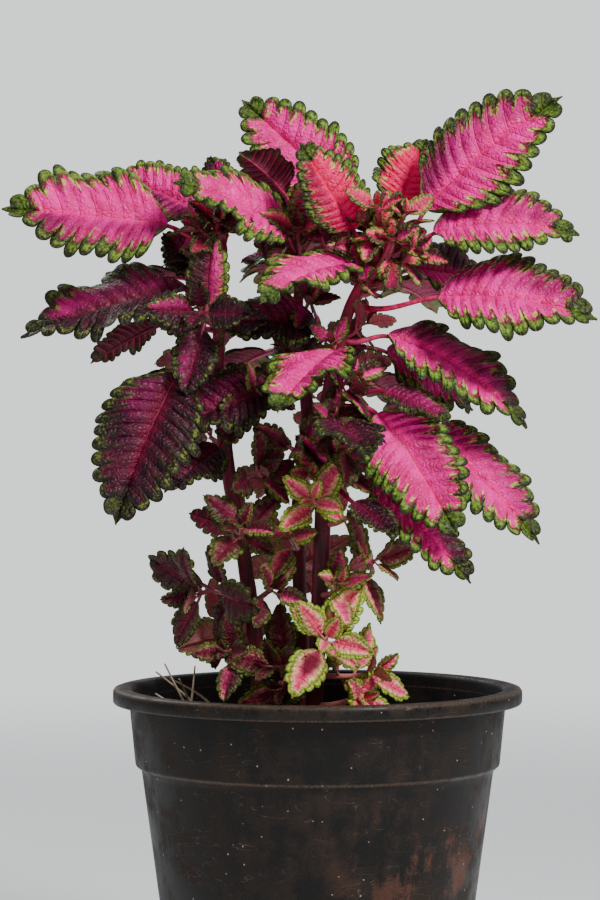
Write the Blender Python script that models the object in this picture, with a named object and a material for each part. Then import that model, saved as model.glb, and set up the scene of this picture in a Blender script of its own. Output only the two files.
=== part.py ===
"""A potted coleus: three square stems, scalloped leaves, small leafy side shoots, soil and a nursery pot.

Run it with: blender --background --python part.py
The origin is the centre of the pot's base, +Z is up, and the side that faces -Y is the front.
Sizes below are in millimetres, and turned into metres where a mesh is made.
"""

import math
from collections import namedtuple

import bpy
from mathutils import Vector

MM = 0.001
SEAT_GAP = 0.3  # left between a piece and what carries it
UP = Vector((0, 0, 1))
FRONT = Vector((0, -1, 0))

# Pot
POT_HEIGHT = 230.0
RIM_RADIUS = 125.0
RIM_DEPTH = 9.0
RIM_EDGE = 1.5
RIM_THICKNESS = 2.5
WALL = 1.8
BAND_TOP_RADIUS = 115.0
BAND_FOOT_RADIUS = 111.2
BAND_FOOT_HEIGHT = 183.0
BODY_TOP_RADIUS = 107.5
STEP_DROP = 3.0
BASE_RADIUS = 83.0
BASE_CHAMFER = 2.0
FLOOR = 2.5
CUT_MARGIN = 2.0  # a drain's cutter reaches this far past the floor
POT_SIDES = 36
DRAIN_COUNT = 8
DRAIN_CIRCLE = 60.0
DRAIN_RADIUS = 6.0
DRAIN_SIDES = 8

# Soil
SOIL_HEIGHT = 196.0
SOIL_MOUND = 3.0
SOIL_INSET = 0.5  # from the pot's inner corners, so a little less from its flat sides
HOLE_TOP = 206.0  # the cutters for the stems end above the soil
HOLE_SIDES = 12

# Square stems with chamfered corners
CORNER_SHARE = 0.62  # how far each flat face reaches towards its corner
STEM_RING_STEP = 21.0

# Leaves
BLADE = 0.8  # thickness
RIB_THICKNESS = 1.5
PETIOLE_FOOT_RADIUS = 2.0
PETIOLE_NECK_RADIUS = 1.3
PETIOLE_SEGMENTS = 3
PULL_OFF = 0.4  # how far a petiole or twig keeps its first direction, as a share of its span
PULL_ON = 0.35  # and its last
LAST_LOBE = 0.95  # share of the blade's length that has lobes
LOBE_DEPTH = 0.08  # share of the blade's length
LOBE_SHRINK = 0.4  # how much shallower the lobes are by the tip
SMALL_LOBE_DEPTH = 0.055
LOBE_FORWARD = 0.45  # how far a lobe leans towards the tip, against how far it stands out
RIB_LEAD = 0.13  # a side vein leaves the midrib this much of the length before it meets the edge
LARGE_LOBE_POINTS = (0.0, 0.27, 0.75)
SMALL_LOBE_POINTS = (0.0, 0.5)
SMALL_LOBES = 3
FOLD = math.radians(16)  # each half of a blade rises this much from the midrib
CUP = math.radians(24)  # and bends back by this much at its edge
WAVE = 0.035  # share of the blade's width that its edge waves up and down
WAVE_PACE = 1.3  # radians of wave for each lobe
WAVE_SHIFT = 2.0  # radians between the waves of the two edges

Stem = namedtuple("Stem", "route half_widths")
Leaf = namedtuple("Leaf", "name stem foot base tip width face arch lobes")
Shoot = namedtuple("Shoot", "name stem foot end axis length turn pairs")

# Each route is the stem's centre line from its buried end to its tip. Half widths are given by height.
STEMS = {
    "right": Stem(
        ((-3, -12, 138), (-3, -12, 200), (0, -12, 260), (3, -11, 330), (5, -10, 395),
         (9, -10, 420), (15, -10, 447), (22, -10, 467), (33, -10, 487), (41, -10, 500)),
        ((138, 5.6), (395, 4.9), (450, 4.0), (500, 3.2)),
    ),
    "middle": Stem(
        ((-8, 26, 138), (-8, 26, 200), (-10, 25, 263), (-12, 23, 333), (-9, 21, 370),
         (-6, 20, 395), (-10, 18, 430), (-12, 16, 460), (-10, 14, 490)),
        ((138, 4.6), (395, 4.2), (490, 3.0)),
    ),
    "left": Stem(
        ((-34, 4, 138), (-34, 4, 200), (-38, 3, 259), (-43, 2, 295), (-48, 1, 330),
         (-53, 0, 352), (-58, 0, 391), (-61, -1, 420), (-59, -2, 466), (-58, -2, 503)),
        ((138, 5.2), (391, 4.4), (503, 3.1)),
    ),
}

# A leaf's petiole leaves its stem at the height foot, and the blade runs from base to tip.
# face turns the blade's upper side from the sky, 0, towards the front, 90. arch bends it down along its length.
LEAVES = (
    Leaf("leaf_right_crown_back", "right", 497, (20, 16, 528), (-47, 34, 592), 58, 75, 20, 6),
    Leaf("leaf_right_crown_front", "right", 494, (22, -20, 508), (-11, -36, 559), 44, 60, 25, 6),
    Leaf("leaf_right_crown_right", "right", 497, (66, -8, 522), (148, -16, 589), 66, 60, 10, 7),
    Leaf("leaf_right_crown_up", "right", 484, (50, 10, 522), (68, 28, 567), 46, 80, 15, 6),
    Leaf("leaf_right_side_high", "right", 488, (70, -18, 507), (157, -32, 504), 58, 45, 30, 6),
    Leaf("leaf_right_side_big", "right", 463, (73, -28, 468), (166, -50, 453), 66, 50, 25, 7),
    Leaf("leaf_right_side_back", "right", 478, (59, 8, 486), (112, 36, 474), 54, 50, 20, 6),
    Leaf("leaf_right_low", "right", 441, (43, -10, 445), (126, -26, 388), 54, 35, 30, 7),
    Leaf("leaf_right_small", "right", 406, (40, -26, 411), (79, -48, 391), 28, 30, 15, 5),
    Leaf("leaf_right_long", "right", 397, (61, -12, 389), (134, -20, 318), 54, 40, 20, 6),
    Leaf("leaf_right_front_low", "right", 402, (36, -30, 397), (83, -50, 324), 58, 60, 15, 7),
    Leaf("leaf_right_hanging", "right", 366, (30, -18, 358), (92, -32, 295), 48, 30, 15, 6),
    Leaf("leaf_right_front_dark", "right", 386, (10, -38, 392), (30, -96, 372), 42, 0, 20, 6),
    Leaf("leaf_centre_front", "right", 430, (11, -34, 434), (-24, -86, 398), 58, 0, 30, 6),
    Leaf("leaf_centre_high", "right", 478, (22, -28, 486), (-34, -76, 462), 58, 20, 30, 6),
    Leaf("leaf_centre_cup", "right", 484, (4, -12, 501), (-12, -18, 538), 36, -50, 20, 5),
    Leaf("leaf_right_back_high", "right", 470, (42, 22, 478), (78, 104, 462), 56, 0, 25, 6),
    Leaf("leaf_right_back_low", "right", 420, (30, 22, 418), (66, 98, 386), 56, 0, 25, 6),
    Leaf("leaf_right_lowest", "right", 354, (22, -40, 344), (46, -68, 325), 24, 30, 15, 5),
    Leaf("leaf_middle_front_left", "middle", 488, (-18, -6, 506), (-86, -50, 534), 54, 50, 25, 6),
    Leaf("leaf_middle_crown_dark", "middle", 484, (-20, 8, 532), (-48, -6, 556), 38, -40, 15, 5),
    Leaf("leaf_middle_crown_back", "middle", 488, (-6, 34, 520), (-30, 56, 552), 48, 80, 15, 5),
    Leaf("leaf_middle_centre", "middle", 452, (-2, 0, 454), (-56, -24, 446), 48, 50, 25, 6),
    Leaf("leaf_middle_right", "middle", 432, (43, 24, 436), (98, 50, 399), 52, 45, 20, 6),
    Leaf("leaf_middle_left", "middle", 415, (-28, -16, 414), (-90, -34, 388), 54, 45, 15, 6),
    Leaf("leaf_middle_back_high", "middle", 480, (-14, 40, 486), (-22, 128, 474), 58, 0, 30, 6),
    Leaf("leaf_middle_back_left", "middle", 440, (-32, 40, 436), (-76, 106, 402), 56, 0, 25, 6),
    Leaf("leaf_middle_back_low", "middle", 402, (4, 44, 402), (34, 108, 356), 54, 0, 25, 6),
    Leaf("leaf_left_crown_big", "left", 499, (-91, -14, 512), (-190, -28, 520), 68, 58, 20, 7),
    Leaf("leaf_left_crown_behind", "left", 500, (-72, 10, 521), (-129, 24, 544), 44, 60, 15, 6),
    Leaf("leaf_left_crown_small", "left", 500, (-57, 12, 531), (-66, 20, 556), 24, 60, 10, 4),
    Leaf("leaf_left_inner", "left", 480, (-70, 2, 484), (-95, 8, 508), 30, 60, 10, 4),
    Leaf("leaf_left_side", "left", 468, (-80, -6, 474), (-180, -16, 443), 60, 35, 20, 7),
    Leaf("leaf_left_side_small", "left", 448, (-97, 12, 452), (-140, 18, 428), 30, -30, 10, 5),
    Leaf("leaf_left_hanging", "left", 432, (-85, -34, 420), (-120, -54, 331), 66, 60, 15, 7),
    Leaf("leaf_left_low", "left", 383, (-60, -12, 376), (-92, -36, 350), 42, 30, 15, 5),
    Leaf("leaf_left_back_high", "left", 474, (-82, 28, 482), (-132, 84, 474), 56, 0, 25, 6),
    Leaf("leaf_left_back_low", "left", 425, (-84, 26, 424), (-128, 72, 384), 54, 0, 25, 6),
)

# A shoot is a twig from its stem to end, where it points along axis, with opposite pairs of small leaves.
# turn sets the outermost pair round the twig, and length is the longest blade.
SHOOTS = (
    Shoot("shoot_right_low_front", "right", 262, (5, -48, 262), (0.1, -0.9, 0.35), 36, 10, 2),
    Shoot("shoot_right_low_side", "right", 238, (32, -24, 240), (0.8, -0.4, 0.2), 34, 0, 2),
    Shoot("shoot_centre_low", "middle", 240, (-26, -22, 244), (-0.5, -0.8, 0.3), 32, 40, 2),
    Shoot("shoot_right_mid", "right", 300, (34, -26, 308), (0.75, -0.5, 0.1), 33, 60, 2),
    Shoot("shoot_centre_mid", "right", 342, (-3, -40, 345), (-0.1, -0.9, 0.4), 27, 5, 2),
    Shoot("shoot_middle_back", "middle", 300, (-14, 58, 305), (0, 0.8, 0.5), 36, 30, 2),
    Shoot("shoot_left_low", "left", 290, (-72, -18, 288), (-0.7, -0.6, -0.2), 42, 20, 2),
    Shoot("shoot_left_mid", "left", 322, (-46, -32, 329), (0.0, -0.8, 0.6), 32, 0, 2),
    Shoot("shoot_left_high", "left", 450, (-70, -42, 458), (-0.1, -0.95, 0.2), 42, 45, 2),
    Shoot("shoot_left_back", "left", 262, (-58, 36, 262), (-0.6, 0.7, 0.2), 36, 30, 2),
)
CROWNS = (
    Shoot("crown_right", "right", 500, (45, -14, 512), (0.3, -0.3, 0.9), 24, 40, 2),
    Shoot("crown_middle", "middle", 490, (-10, 16, 502), (0.1, 0.1, 0.9), 22, 60, 2),
    Shoot("crown_left", "left", 503, (-59, -6, 515), (-0.2, -0.3, 0.9), 22, 50, 2),
)
TWIG_RADIUS = 2.0
SMALL_PETIOLE_RADIUS = 1.1
ROOT_SINK = 0.6  # a small leaf starts this far past the twig's centre line
TWIG_SIDES = 5
TWIG_SEGMENTS = 3
TWIG_TAPER = 0.2
SMALL_WIDTH = 0.62  # a small blade's width against its length
SMALL_NECK = 0.24  # and its petiole
SMALL_ARCH = 25
PAIR_STEP = 0.3  # share of the twig between two pairs of leaves
LAST_PAIR = 0.94  # share of the twig below its last pair
PAIR_SHRINK = 0.8  # each pair towards the tip is this much of the one below it
OUTER_SPREAD = math.radians(78)  # how far the lowest pair leans away from the twig's axis
CROWN_SPREAD = math.radians(58)
SPREAD_STEP = math.radians(16)  # and how much less the next pair does


def clear_scene():
    for obj in list(bpy.data.objects):
        bpy.data.objects.remove(obj)


def material(name, colour, roughness):
    """A plain finish with no metal in it."""
    made = bpy.data.materials.new(name)
    made.use_nodes = True
    shader = made.node_tree.nodes["Principled BSDF"]
    shader.inputs["Base Color"].default_value = (*colour, 1)
    shader.inputs["Roughness"].default_value = roughness
    shader.inputs["Metallic"].default_value = 0
    return made


def mesh_object(name, points, faces, finish, edges=()):
    """An object from points in millimetres."""
    mesh = bpy.data.meshes.new(name)
    mesh.from_pydata([Vector(p) * MM for p in points], list(edges), list(faces))
    mesh.materials.append(finish)
    obj = bpy.data.objects.new(name, mesh)
    bpy.context.scene.collection.objects.link(obj)
    return obj


def turned(name, profile, sides, finish):
    """A solid turned about Z from (radius, height) points that begin and end on the axis."""
    points = [(radius, 0, height) for radius, height in profile]
    edges = [(i, i + 1) for i in range(len(points) - 1)]
    obj = mesh_object(name, points, (), finish, edges)
    screw = obj.modifiers.new("Turn", "SCREW")
    screw.steps = screw.render_steps = sides
    screw.use_merge_vertices = True
    screw.merge_threshold = 0.0001
    screw.use_smooth_shade = False
    return obj


def cylinder(name, centre, radius, low, high, sides, finish):
    """A round upright cutter."""
    points = []
    for height in (low, high):
        for k in range(sides):
            angle = math.tau * k / sides
            points.append((centre[0] + radius * math.cos(angle), centre[1] + radius * math.sin(angle), height))
    faces = [tuple(reversed(range(sides))), tuple(range(sides, 2 * sides))]
    faces += [(k, (k + 1) % sides, sides + (k + 1) % sides, sides + k) for k in range(sides)]
    return mesh_object(name, points, faces, finish)


def cut(obj, cutters):
    """Cuts each of the cutters from obj."""
    for cutter in cutters:
        cutter.hide_render = True
        cutter.display_type = "WIRE"
        boolean = obj.modifiers.new(cutter.name, "BOOLEAN")
        boolean.operation = "DIFFERENCE"
        boolean.object = cutter


def wall_radius(height):
    """The pot's inner radius at a height."""
    if height > BAND_FOOT_HEIGHT:
        share = (height - BAND_FOOT_HEIGHT) / (POT_HEIGHT - RIM_DEPTH - BAND_FOOT_HEIGHT)
        outer = BAND_FOOT_RADIUS + share * (BAND_TOP_RADIUS - BAND_FOOT_RADIUS)
    else:
        share = min(height / (BAND_FOOT_HEIGHT - STEP_DROP), 1)
        outer = BASE_RADIUS + share * (BODY_TOP_RADIUS - BASE_RADIUS)
    return outer - WALL


def make_pot(finish):
    skirt = POT_HEIGHT - RIM_DEPTH
    inner_top = BAND_TOP_RADIUS - WALL
    inner_step = BAND_FOOT_HEIGHT - STEP_DROP
    profile = (
        (0, FLOOR),
        (wall_radius(FLOOR), FLOOR),
        (wall_radius(inner_step), inner_step),
        (BAND_FOOT_RADIUS - WALL, BAND_FOOT_HEIGHT),
        (inner_top, POT_HEIGHT - RIM_EDGE),
        (inner_top + RIM_EDGE, POT_HEIGHT),
        (RIM_RADIUS - RIM_EDGE, POT_HEIGHT),
        (RIM_RADIUS, POT_HEIGHT - RIM_EDGE),
        (RIM_RADIUS, skirt),
        (RIM_RADIUS - WALL, skirt),
        (RIM_RADIUS - WALL, POT_HEIGHT - RIM_THICKNESS),
        (BAND_TOP_RADIUS, POT_HEIGHT - RIM_THICKNESS),
        (BAND_TOP_RADIUS, skirt),
        (BAND_FOOT_RADIUS, BAND_FOOT_HEIGHT),
        (BODY_TOP_RADIUS, BAND_FOOT_HEIGHT - STEP_DROP),
        (BASE_RADIUS, BASE_CHAMFER),
        (BASE_RADIUS - BASE_CHAMFER, 0),
        (0, 0),
    )
    pot = turned("pot", profile, POT_SIDES, finish)
    drains = []
    low, high = -CUT_MARGIN, FLOOR + CUT_MARGIN
    for k in range(DRAIN_COUNT):
        angle = math.tau * (k + 0.5) / DRAIN_COUNT
        centre = (DRAIN_CIRCLE * math.cos(angle), DRAIN_CIRCLE * math.sin(angle))
        drains.append(cylinder(f"drain_{k}", centre, DRAIN_RADIUS, low, high, DRAIN_SIDES, finish))
    cut(pot, drains)
    return pot


def make_soil(finish):
    step = BAND_FOOT_HEIGHT - STEP_DROP
    profile = (
        (0, SOIL_HEIGHT + SOIL_MOUND),
        (45, SOIL_HEIGHT + SOIL_MOUND - 1),
        (90, SOIL_HEIGHT),
        (wall_radius(SOIL_HEIGHT) - SOIL_INSET, SOIL_HEIGHT - 1.5),
        (BAND_FOOT_RADIUS - WALL - SOIL_INSET, BAND_FOOT_HEIGHT + SOIL_INSET),
        (wall_radius(step) - SOIL_INSET, step),
        (wall_radius(FLOOR) - SOIL_INSET, FLOOR + SEAT_GAP),
        (0, FLOOR + SEAT_GAP),
    )
    soil = turned("soil", profile, POT_SIDES, finish)
    holes = []
    for name, stem in STEMS.items():
        foot = Vector(stem.route[0])
        reach = half_width(stem, foot.z) * math.hypot(1, CORNER_SHARE)
        radius = (reach + SEAT_GAP) / math.cos(math.pi / HOLE_SIDES)
        holes.append(cylinder(f"hole_{name}", foot, radius, foot.z - SEAT_GAP, HOLE_TOP, HOLE_SIDES, finish))
    cut(soil, holes)
    return soil


def between(table, value):
    """Straight-line reading of a table of (place, value) pairs."""
    for (a, first), (b, second) in zip(table, table[1:]):
        if value <= b:
            return first + (second - first) * (value - a) / (b - a)
    return table[-1][1]


def half_width(stem, height):
    return between(stem.half_widths, height)


def centre_line(stem, height):
    """The point of a stem's centre line at a height, on a smooth curve through its route."""
    route = [Vector(p) for p in stem.route]
    last = len(route) - 1
    k = next((i for i in range(last) if height <= route[i + 1].z), last - 1)
    before, start, end, after = route[max(k - 1, 0)], route[k], route[k + 1], route[min(k + 2, last)]
    rise = end.z - start.z
    leaving = (end - before) / (end.z - before.z) * rise
    arriving = (after - start) / (after.z - start.z) * rise
    t = (height - start.z) / rise
    point = (
        start * (2 * t**3 - 3 * t**2 + 1)
        + leaving * (t**3 - 2 * t**2 + t)
        + end * (3 * t**2 - 2 * t**3)
        + arriving * (t**3 - t**2)
    )
    return Vector((point.x, point.y, height))


def stem_corners(half):
    """The eight corners of a square section whose own corners are cut off."""
    short = half * CORNER_SHARE
    return [
        (half, -short), (half, short), (short, half), (-short, half),
        (-half, short), (-half, -short), (-short, -half), (short, -half),
    ]


def tube(first, second):
    """Faces between two rings of point indices."""
    count = len(first)
    return [(first[k], first[(k + 1) % count], second[(k + 1) % count], second[k]) for k in range(count)]


def loft(rings):
    """Points and faces of a closed tube through rings that have equally many points."""
    count = len(rings[0])
    points = [p for ring in rings for p in ring]
    rows = [tuple(range(start, start + count)) for start in range(0, len(points), count)]
    faces = [rows[0][::-1], rows[-1]]
    for first, second in zip(rows, rows[1:]):
        faces += tube(first, second)
    return points, faces


def ring_heights(stem):
    low, high = stem.route[0][2], stem.route[-1][2]
    count = round((high - low) / STEM_RING_STEP)
    return [low + (high - low) * k / count for k in range(count + 1)]


def middle_of(stem, height):
    """The middle of the modelled stem at a height, which runs straight from ring to ring."""
    heights = ring_heights(stem)
    k = next((i for i, high in enumerate(heights[1:-1]) if height <= high), len(heights) - 2)
    low, high = heights[k], heights[k + 1]
    return centre_line(stem, low).lerp(centre_line(stem, high), (height - low) / (high - low))


def make_stem(name, finish):
    stem = STEMS[name]
    rings = []
    for height in ring_heights(stem):
        centre = centre_line(stem, height)
        rings.append([centre + Vector((x, y, 0)) for x, y in stem_corners(half_width(stem, height))])
    return mesh_object(f"stem_{name}", *loft(rings), finish)


def seat(stem, height, towards):
    """Where a petiole or twig that heads for a point meets the stem's side, and its direction off the stem."""
    centre = middle_of(stem, height)
    course = (middle_of(stem, height + PETIOLE_FOOT_RADIUS) - centre).normalized()
    out = Vector((towards[0] - centre.x, towards[1] - centre.y, 0)).normalized()
    leaving = (out - course * out.dot(course)).normalized()
    reach = max(out.x * x + out.y * y for x, y in stem_corners(half_width(stem, height)))
    return centre + out * reach + leaving * SEAT_GAP, leaving


def curve_point(start, leaving, arriving, end, t):
    """A point of the cubic curve with these two handles."""
    s = 1 - t
    return start * s**3 + leaving * (3 * s * s * t) + arriving * (3 * s * t * t) + end * t**3


def curve_heading(start, leaving, arriving, end, t):
    s = 1 - t
    heading = (leaving - start) * (s * s) + (arriving - leaving) * (2 * s * t) + (end - arriving) * (t * t)
    return heading.normalized()


class Blade:
    """A leaf's blade in space: a flat outline whose points are bent, folded and waved."""

    def __init__(self, base, along, normal, length, width, arch, lobes, lobe_points, depth):
        self.base = Vector(base)
        self.along = Vector(along).normalized()
        self.normal = (normal - self.along * normal.dot(self.along)).normalized()
        self.side = self.normal.cross(self.along)
        self.length = length
        self.width = width
        self.arch = math.radians(arch)
        self.lobes = lobes
        self.lobe_points = lobe_points
        self.depth = depth * length

    def start(self):
        """The direction in which the blade leaves its base."""
        return self.along * math.cos(self.arch / 2) + self.normal * math.sin(self.arch / 2)

    def place(self, x, y, lift=0.0):
        """The point in space x along the midrib and y to its side, raised by lift from the blade."""
        bend = self.arch * (x / self.length - 0.5)
        radius = self.length / self.arch
        rib = self.along * radius * (math.sin(bend) + math.sin(self.arch / 2))
        rib += self.normal * radius * (math.cos(bend) - math.cos(self.arch / 2))
        up = self.normal * math.cos(bend) + self.along * math.sin(bend)
        share = 2 * abs(y) / self.width
        slope = FOLD - CUP * share / 2
        phase = self.lobes * WAVE_PACE * x / self.length + (y > 0) * WAVE_SHIFT
        wave = self.width * WAVE * share**2 * math.sin(phase)
        rise = abs(y) * math.sin(slope) + wave + lift
        return self.base + rib + up * rise + self.side * (y * math.cos(slope))

    def half_outline(self):
        """(x, y) along one edge from the blade's neck to just before its tip, and the index of each notch."""
        body = self.width / 2 - self.depth * 0.8
        outline = [(0.0, PETIOLE_NECK_RADIUS)]
        notches = [0]
        for k in range(self.lobes):
            for f in self.lobe_points:
                if k == 0 and f == 0:
                    continue
                q = LAST_LOBE * (k + f) / self.lobes
                out = self.depth * (1 - abs(2 * f - 1) ** 2.2) ** 0.7 * (1 - LOBE_SHRINK * q)
                if f == 0:
                    notches.append(len(outline))
                x = q * self.length + out * LOBE_FORWARD
                outline.append((x, max(body * half_profile(q), PETIOLE_NECK_RADIUS) + out))
        notches.append(len(outline))
        outline.append((LAST_LOBE * self.length, body * half_profile(LAST_LOBE)))
        return outline, notches

    def rib_places(self, outline, notches):
        """Where the midrib's points lie, one for each notch, each a little before the notch."""
        places = []
        for n in notches:
            q = min(outline[n][0] / self.length, 1)
            places.append(self.length * (q - RIB_LEAD * math.sin(math.pi * q)) if n else 0.0)
        return places


def half_profile(q):
    """The blade's half width along its length, 1 at its widest: egg-shaped with a drawn-out tip."""
    return math.sin(math.pi * q**0.74) ** 0.95


def strip(rib, edge, notches):
    """Triangles between the midrib's points and one edge's."""
    found = []
    for k, (first, last) in enumerate(zip(notches, notches[1:])):
        middle = (first + last) // 2
        for j in range(first, middle):
            found.append((rib[k], edge[j], edge[j + 1]))
        found.append((rib[k], edge[middle], rib[k + 1]))
        for j in range(middle, last):
            found.append((rib[k + 1], edge[j], edge[j + 1]))
    return found


def leaf_mesh(blade, petiole_rings):
    """Points and triangles of one closed leaf: the petiole's rings, then the blade.

    Each ring has six points: upper left, upper middle, upper right, then the same below, right to left.
    """
    outline, notches = blade.half_outline()
    rib_x = blade.rib_places(outline, notches)
    points, faces = [], []

    def add(point):
        points.append(point)
        return len(points) - 1

    def both(x, y, thickness):
        return add(blade.place(x, y, thickness / 2)), add(blade.place(x, y, -thickness / 2))

    ribs = [both(x, 0, RIB_THICKNESS) for x in rib_x]
    left = [both(x, y, BLADE) for x, y in outline]
    right = [both(x, -y, BLADE) for x, y in outline]
    tip = both(blade.length, 0, BLADE)
    for level, flip in ((0, False), (1, True)):
        rib = [pair[level] for pair in ribs]
        rows = [
            (strip(rib, [p[level] for p in left], notches), True),
            (strip(rib, [p[level] for p in right], notches), False),
        ]
        rows[0][0].append((rib[-1], left[-1][level], tip[level]))
        rows[1][0].append((rib[-1], right[-1][level], tip[level]))
        for triangles, mirrored in rows:
            faces += [t[::-1] if mirrored != flip else t for t in triangles]
    for edge, mirrored in ((left + [tip], True), (right + [tip], False)):
        for (a_top, a_low), (b_top, b_low) in zip(edge, edge[1:]):
            wall = [(a_top, a_low, b_low), (a_top, b_low, b_top)]
            faces += [t[::-1] if mirrored else t for t in wall]
    neck = [left[0][0], ribs[0][0], right[0][0], right[0][1], ribs[0][1], left[0][1]]
    previous = None
    for ring in petiole_rings:
        current = [add(p) for p in ring]
        if previous is None:
            faces.append(tuple(reversed(current)))
        else:
            faces += tube(previous, current)
        previous = current
    return points, faces + tube(previous, neck)


def petiole_ring(centre, side, up, radius):
    """Six points round a petiole, in the order of the blade's neck."""
    low = 0.5 * radius
    return [
        centre + side * radius + up * low, centre + up * radius, centre - side * radius + up * low,
        centre - side * radius - up * low, centre - up * radius, centre + side * radius - up * low,
    ]


def petiole_rings(start, out, blade, foot_ring):
    """Rings from the petiole's foot to just short of the blade's neck."""
    end = blade.base
    span = (end - start).length
    handles = (start, start + out * span * PULL_OFF, end - blade.start() * span * PULL_ON, end)
    rings = [foot_ring]
    for k in range(1, PETIOLE_SEGMENTS):
        t = k / PETIOLE_SEGMENTS
        heading = curve_heading(*handles, t)
        side = (blade.side - heading * blade.side.dot(heading)).normalized()
        radius = PETIOLE_FOOT_RADIUS + (PETIOLE_NECK_RADIUS - PETIOLE_FOOT_RADIUS) * t
        rings.append(petiole_ring(curve_point(*handles, t), side, heading.cross(side), radius))
    return rings


def make_leaf(leaf, finish):
    stem = STEMS[leaf.stem]
    base, tip = Vector(leaf.base), Vector(leaf.tip)
    chord = tip - base
    face = math.radians(leaf.face)
    arch = math.radians(leaf.arch)
    length = chord.length * (arch / 2) / math.sin(arch / 2)
    normal = UP * math.cos(face) + FRONT * math.sin(face)
    edge = (leaf.lobes, LARGE_LOBE_POINTS, LOBE_DEPTH)
    blade = Blade(base, chord, normal, length, leaf.width, leaf.arch, *edge)
    start, out = seat(stem, leaf.foot, base)
    side = (blade.side - out * blade.side.dot(out)).normalized()
    foot_ring = petiole_ring(start, side, out.cross(side), PETIOLE_FOOT_RADIUS)
    return mesh_object(leaf.name, *leaf_mesh(blade, petiole_rings(start, out, blade, foot_ring)), finish)


def small_leaf(root, along, normal, length, finish):
    """A shoot's leaf, whose short petiole starts at root, inside the twig."""
    along = along.normalized()
    neck = root + along * length * SMALL_NECK
    width = length * SMALL_WIDTH
    edge = (SMALL_LOBES, SMALL_LOBE_POINTS, SMALL_LOBE_DEPTH)
    blade = Blade(neck, along, normal, length, width, SMALL_ARCH, *edge)
    start = root - along * ROOT_SINK
    rings = [petiole_ring(start, blade.side, along.cross(blade.side), SMALL_PETIOLE_RADIUS)]
    return mesh_object("small_leaf", *leaf_mesh(blade, rings), finish)


def fused(obj, others):
    """Joins the other solids to obj in one body, and removes them."""
    group = bpy.data.collections.new("group")
    bpy.context.scene.collection.children.link(group)
    for other in others:
        bpy.context.scene.collection.objects.unlink(other)
        group.objects.link(other)
    union = obj.modifiers.new("Fuse", "BOOLEAN")
    union.operation = "UNION"
    union.operand_type = "COLLECTION"
    union.collection = group
    bpy.context.view_layer.update()
    graph = bpy.context.evaluated_depsgraph_get()
    joined = bpy.data.meshes.new_from_object(obj.evaluated_get(graph))
    obj.modifiers.clear()
    obj.data = joined
    for other in others:
        bpy.data.objects.remove(other)
    bpy.data.collections.remove(group)
    return obj


def make_shoot(shoot, at_tip, finish):
    """A twig with opposite pairs of small leaves, each pair a quarter turn from the next."""
    stem = STEMS[shoot.stem]
    end, axis = Vector(shoot.end), Vector(shoot.axis).normalized()
    if at_tip:
        start, out = centre_line(stem, shoot.foot) + UP * SEAT_GAP, UP
    else:
        start, out = seat(stem, shoot.foot, end)
    span = (end - start).length
    handles = (start, start + out * span * PULL_OFF, end - axis * span * PULL_ON, end)
    first_side = UP.cross(out) if not at_tip else Vector((1, 0, 0))
    rings = []
    for k in range(TWIG_SEGMENTS + 1):
        t = k / TWIG_SEGMENTS
        heading = curve_heading(*handles, t)
        side = (first_side - heading * first_side.dot(heading)).normalized()
        up = heading.cross(side)
        radius = TWIG_RADIUS * (1 - TWIG_TAPER * t)
        rings.append([
            curve_point(*handles, t)
            + side * radius * math.cos(math.tau * j / TWIG_SIDES)
            + up * radius * math.sin(math.tau * j / TWIG_SIDES)
            for j in range(TWIG_SIDES)
        ])
    twig = mesh_object(shoot.name, *loft(rings), finish)
    across = axis.orthogonal().normalized()
    leaves = []
    for pair in range(shoot.pairs):
        t = LAST_PAIR - PAIR_STEP * (shoot.pairs - 1 - pair)
        root = curve_point(*handles, t)
        spread = (CROWN_SPREAD if at_tip else OUTER_SPREAD) - SPREAD_STEP * pair
        for half in (0, 180):
            angle = math.radians(shoot.turn + 90 * pair + half)
            away = across * math.cos(angle) + axis.cross(across) * math.sin(angle)
            along = axis * math.cos(spread) + away * math.sin(spread)
            normal = axis * math.sin(spread) - away * math.cos(spread)
            length = shoot.length * PAIR_SHRINK**pair
            leaves.append(small_leaf(root, along, normal, length, finish))
    return fused(twig, leaves)


def main():
    clear_scene()
    plastic = material("black_plastic", (0.02, 0.018, 0.017), 0.55)
    earth = material("potting_soil", (0.05, 0.032, 0.02), 0.95)
    burgundy = material("stem_burgundy", (0.12, 0.008, 0.03), 0.45)
    pink = material("leaf_pink", (0.72, 0.06, 0.28), 0.5)
    green = material("young_leaf_green", (0.35, 0.4, 0.12), 0.5)
    make_pot(plastic)
    make_soil(earth)
    for name in STEMS:
        make_stem(name, burgundy)
    for leaf in LEAVES:
        make_leaf(leaf, pink)
    for shoot in SHOOTS:
        make_shoot(shoot, False, green)
    for crown in CROWNS:
        make_shoot(crown, True, green)


main()
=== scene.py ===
# %% [markdown]
# # A potted coleus
# The plant has three square burgundy stems, large scalloped leaves that are pink inside a dark and green
# edge, small leafy shoots low down, and a black nursery pot full of soil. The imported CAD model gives
# every leaf its place. Each step below swaps one kind of CAD node for a finer piece of the same form.

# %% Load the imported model
import math
from collections import namedtuple

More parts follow.
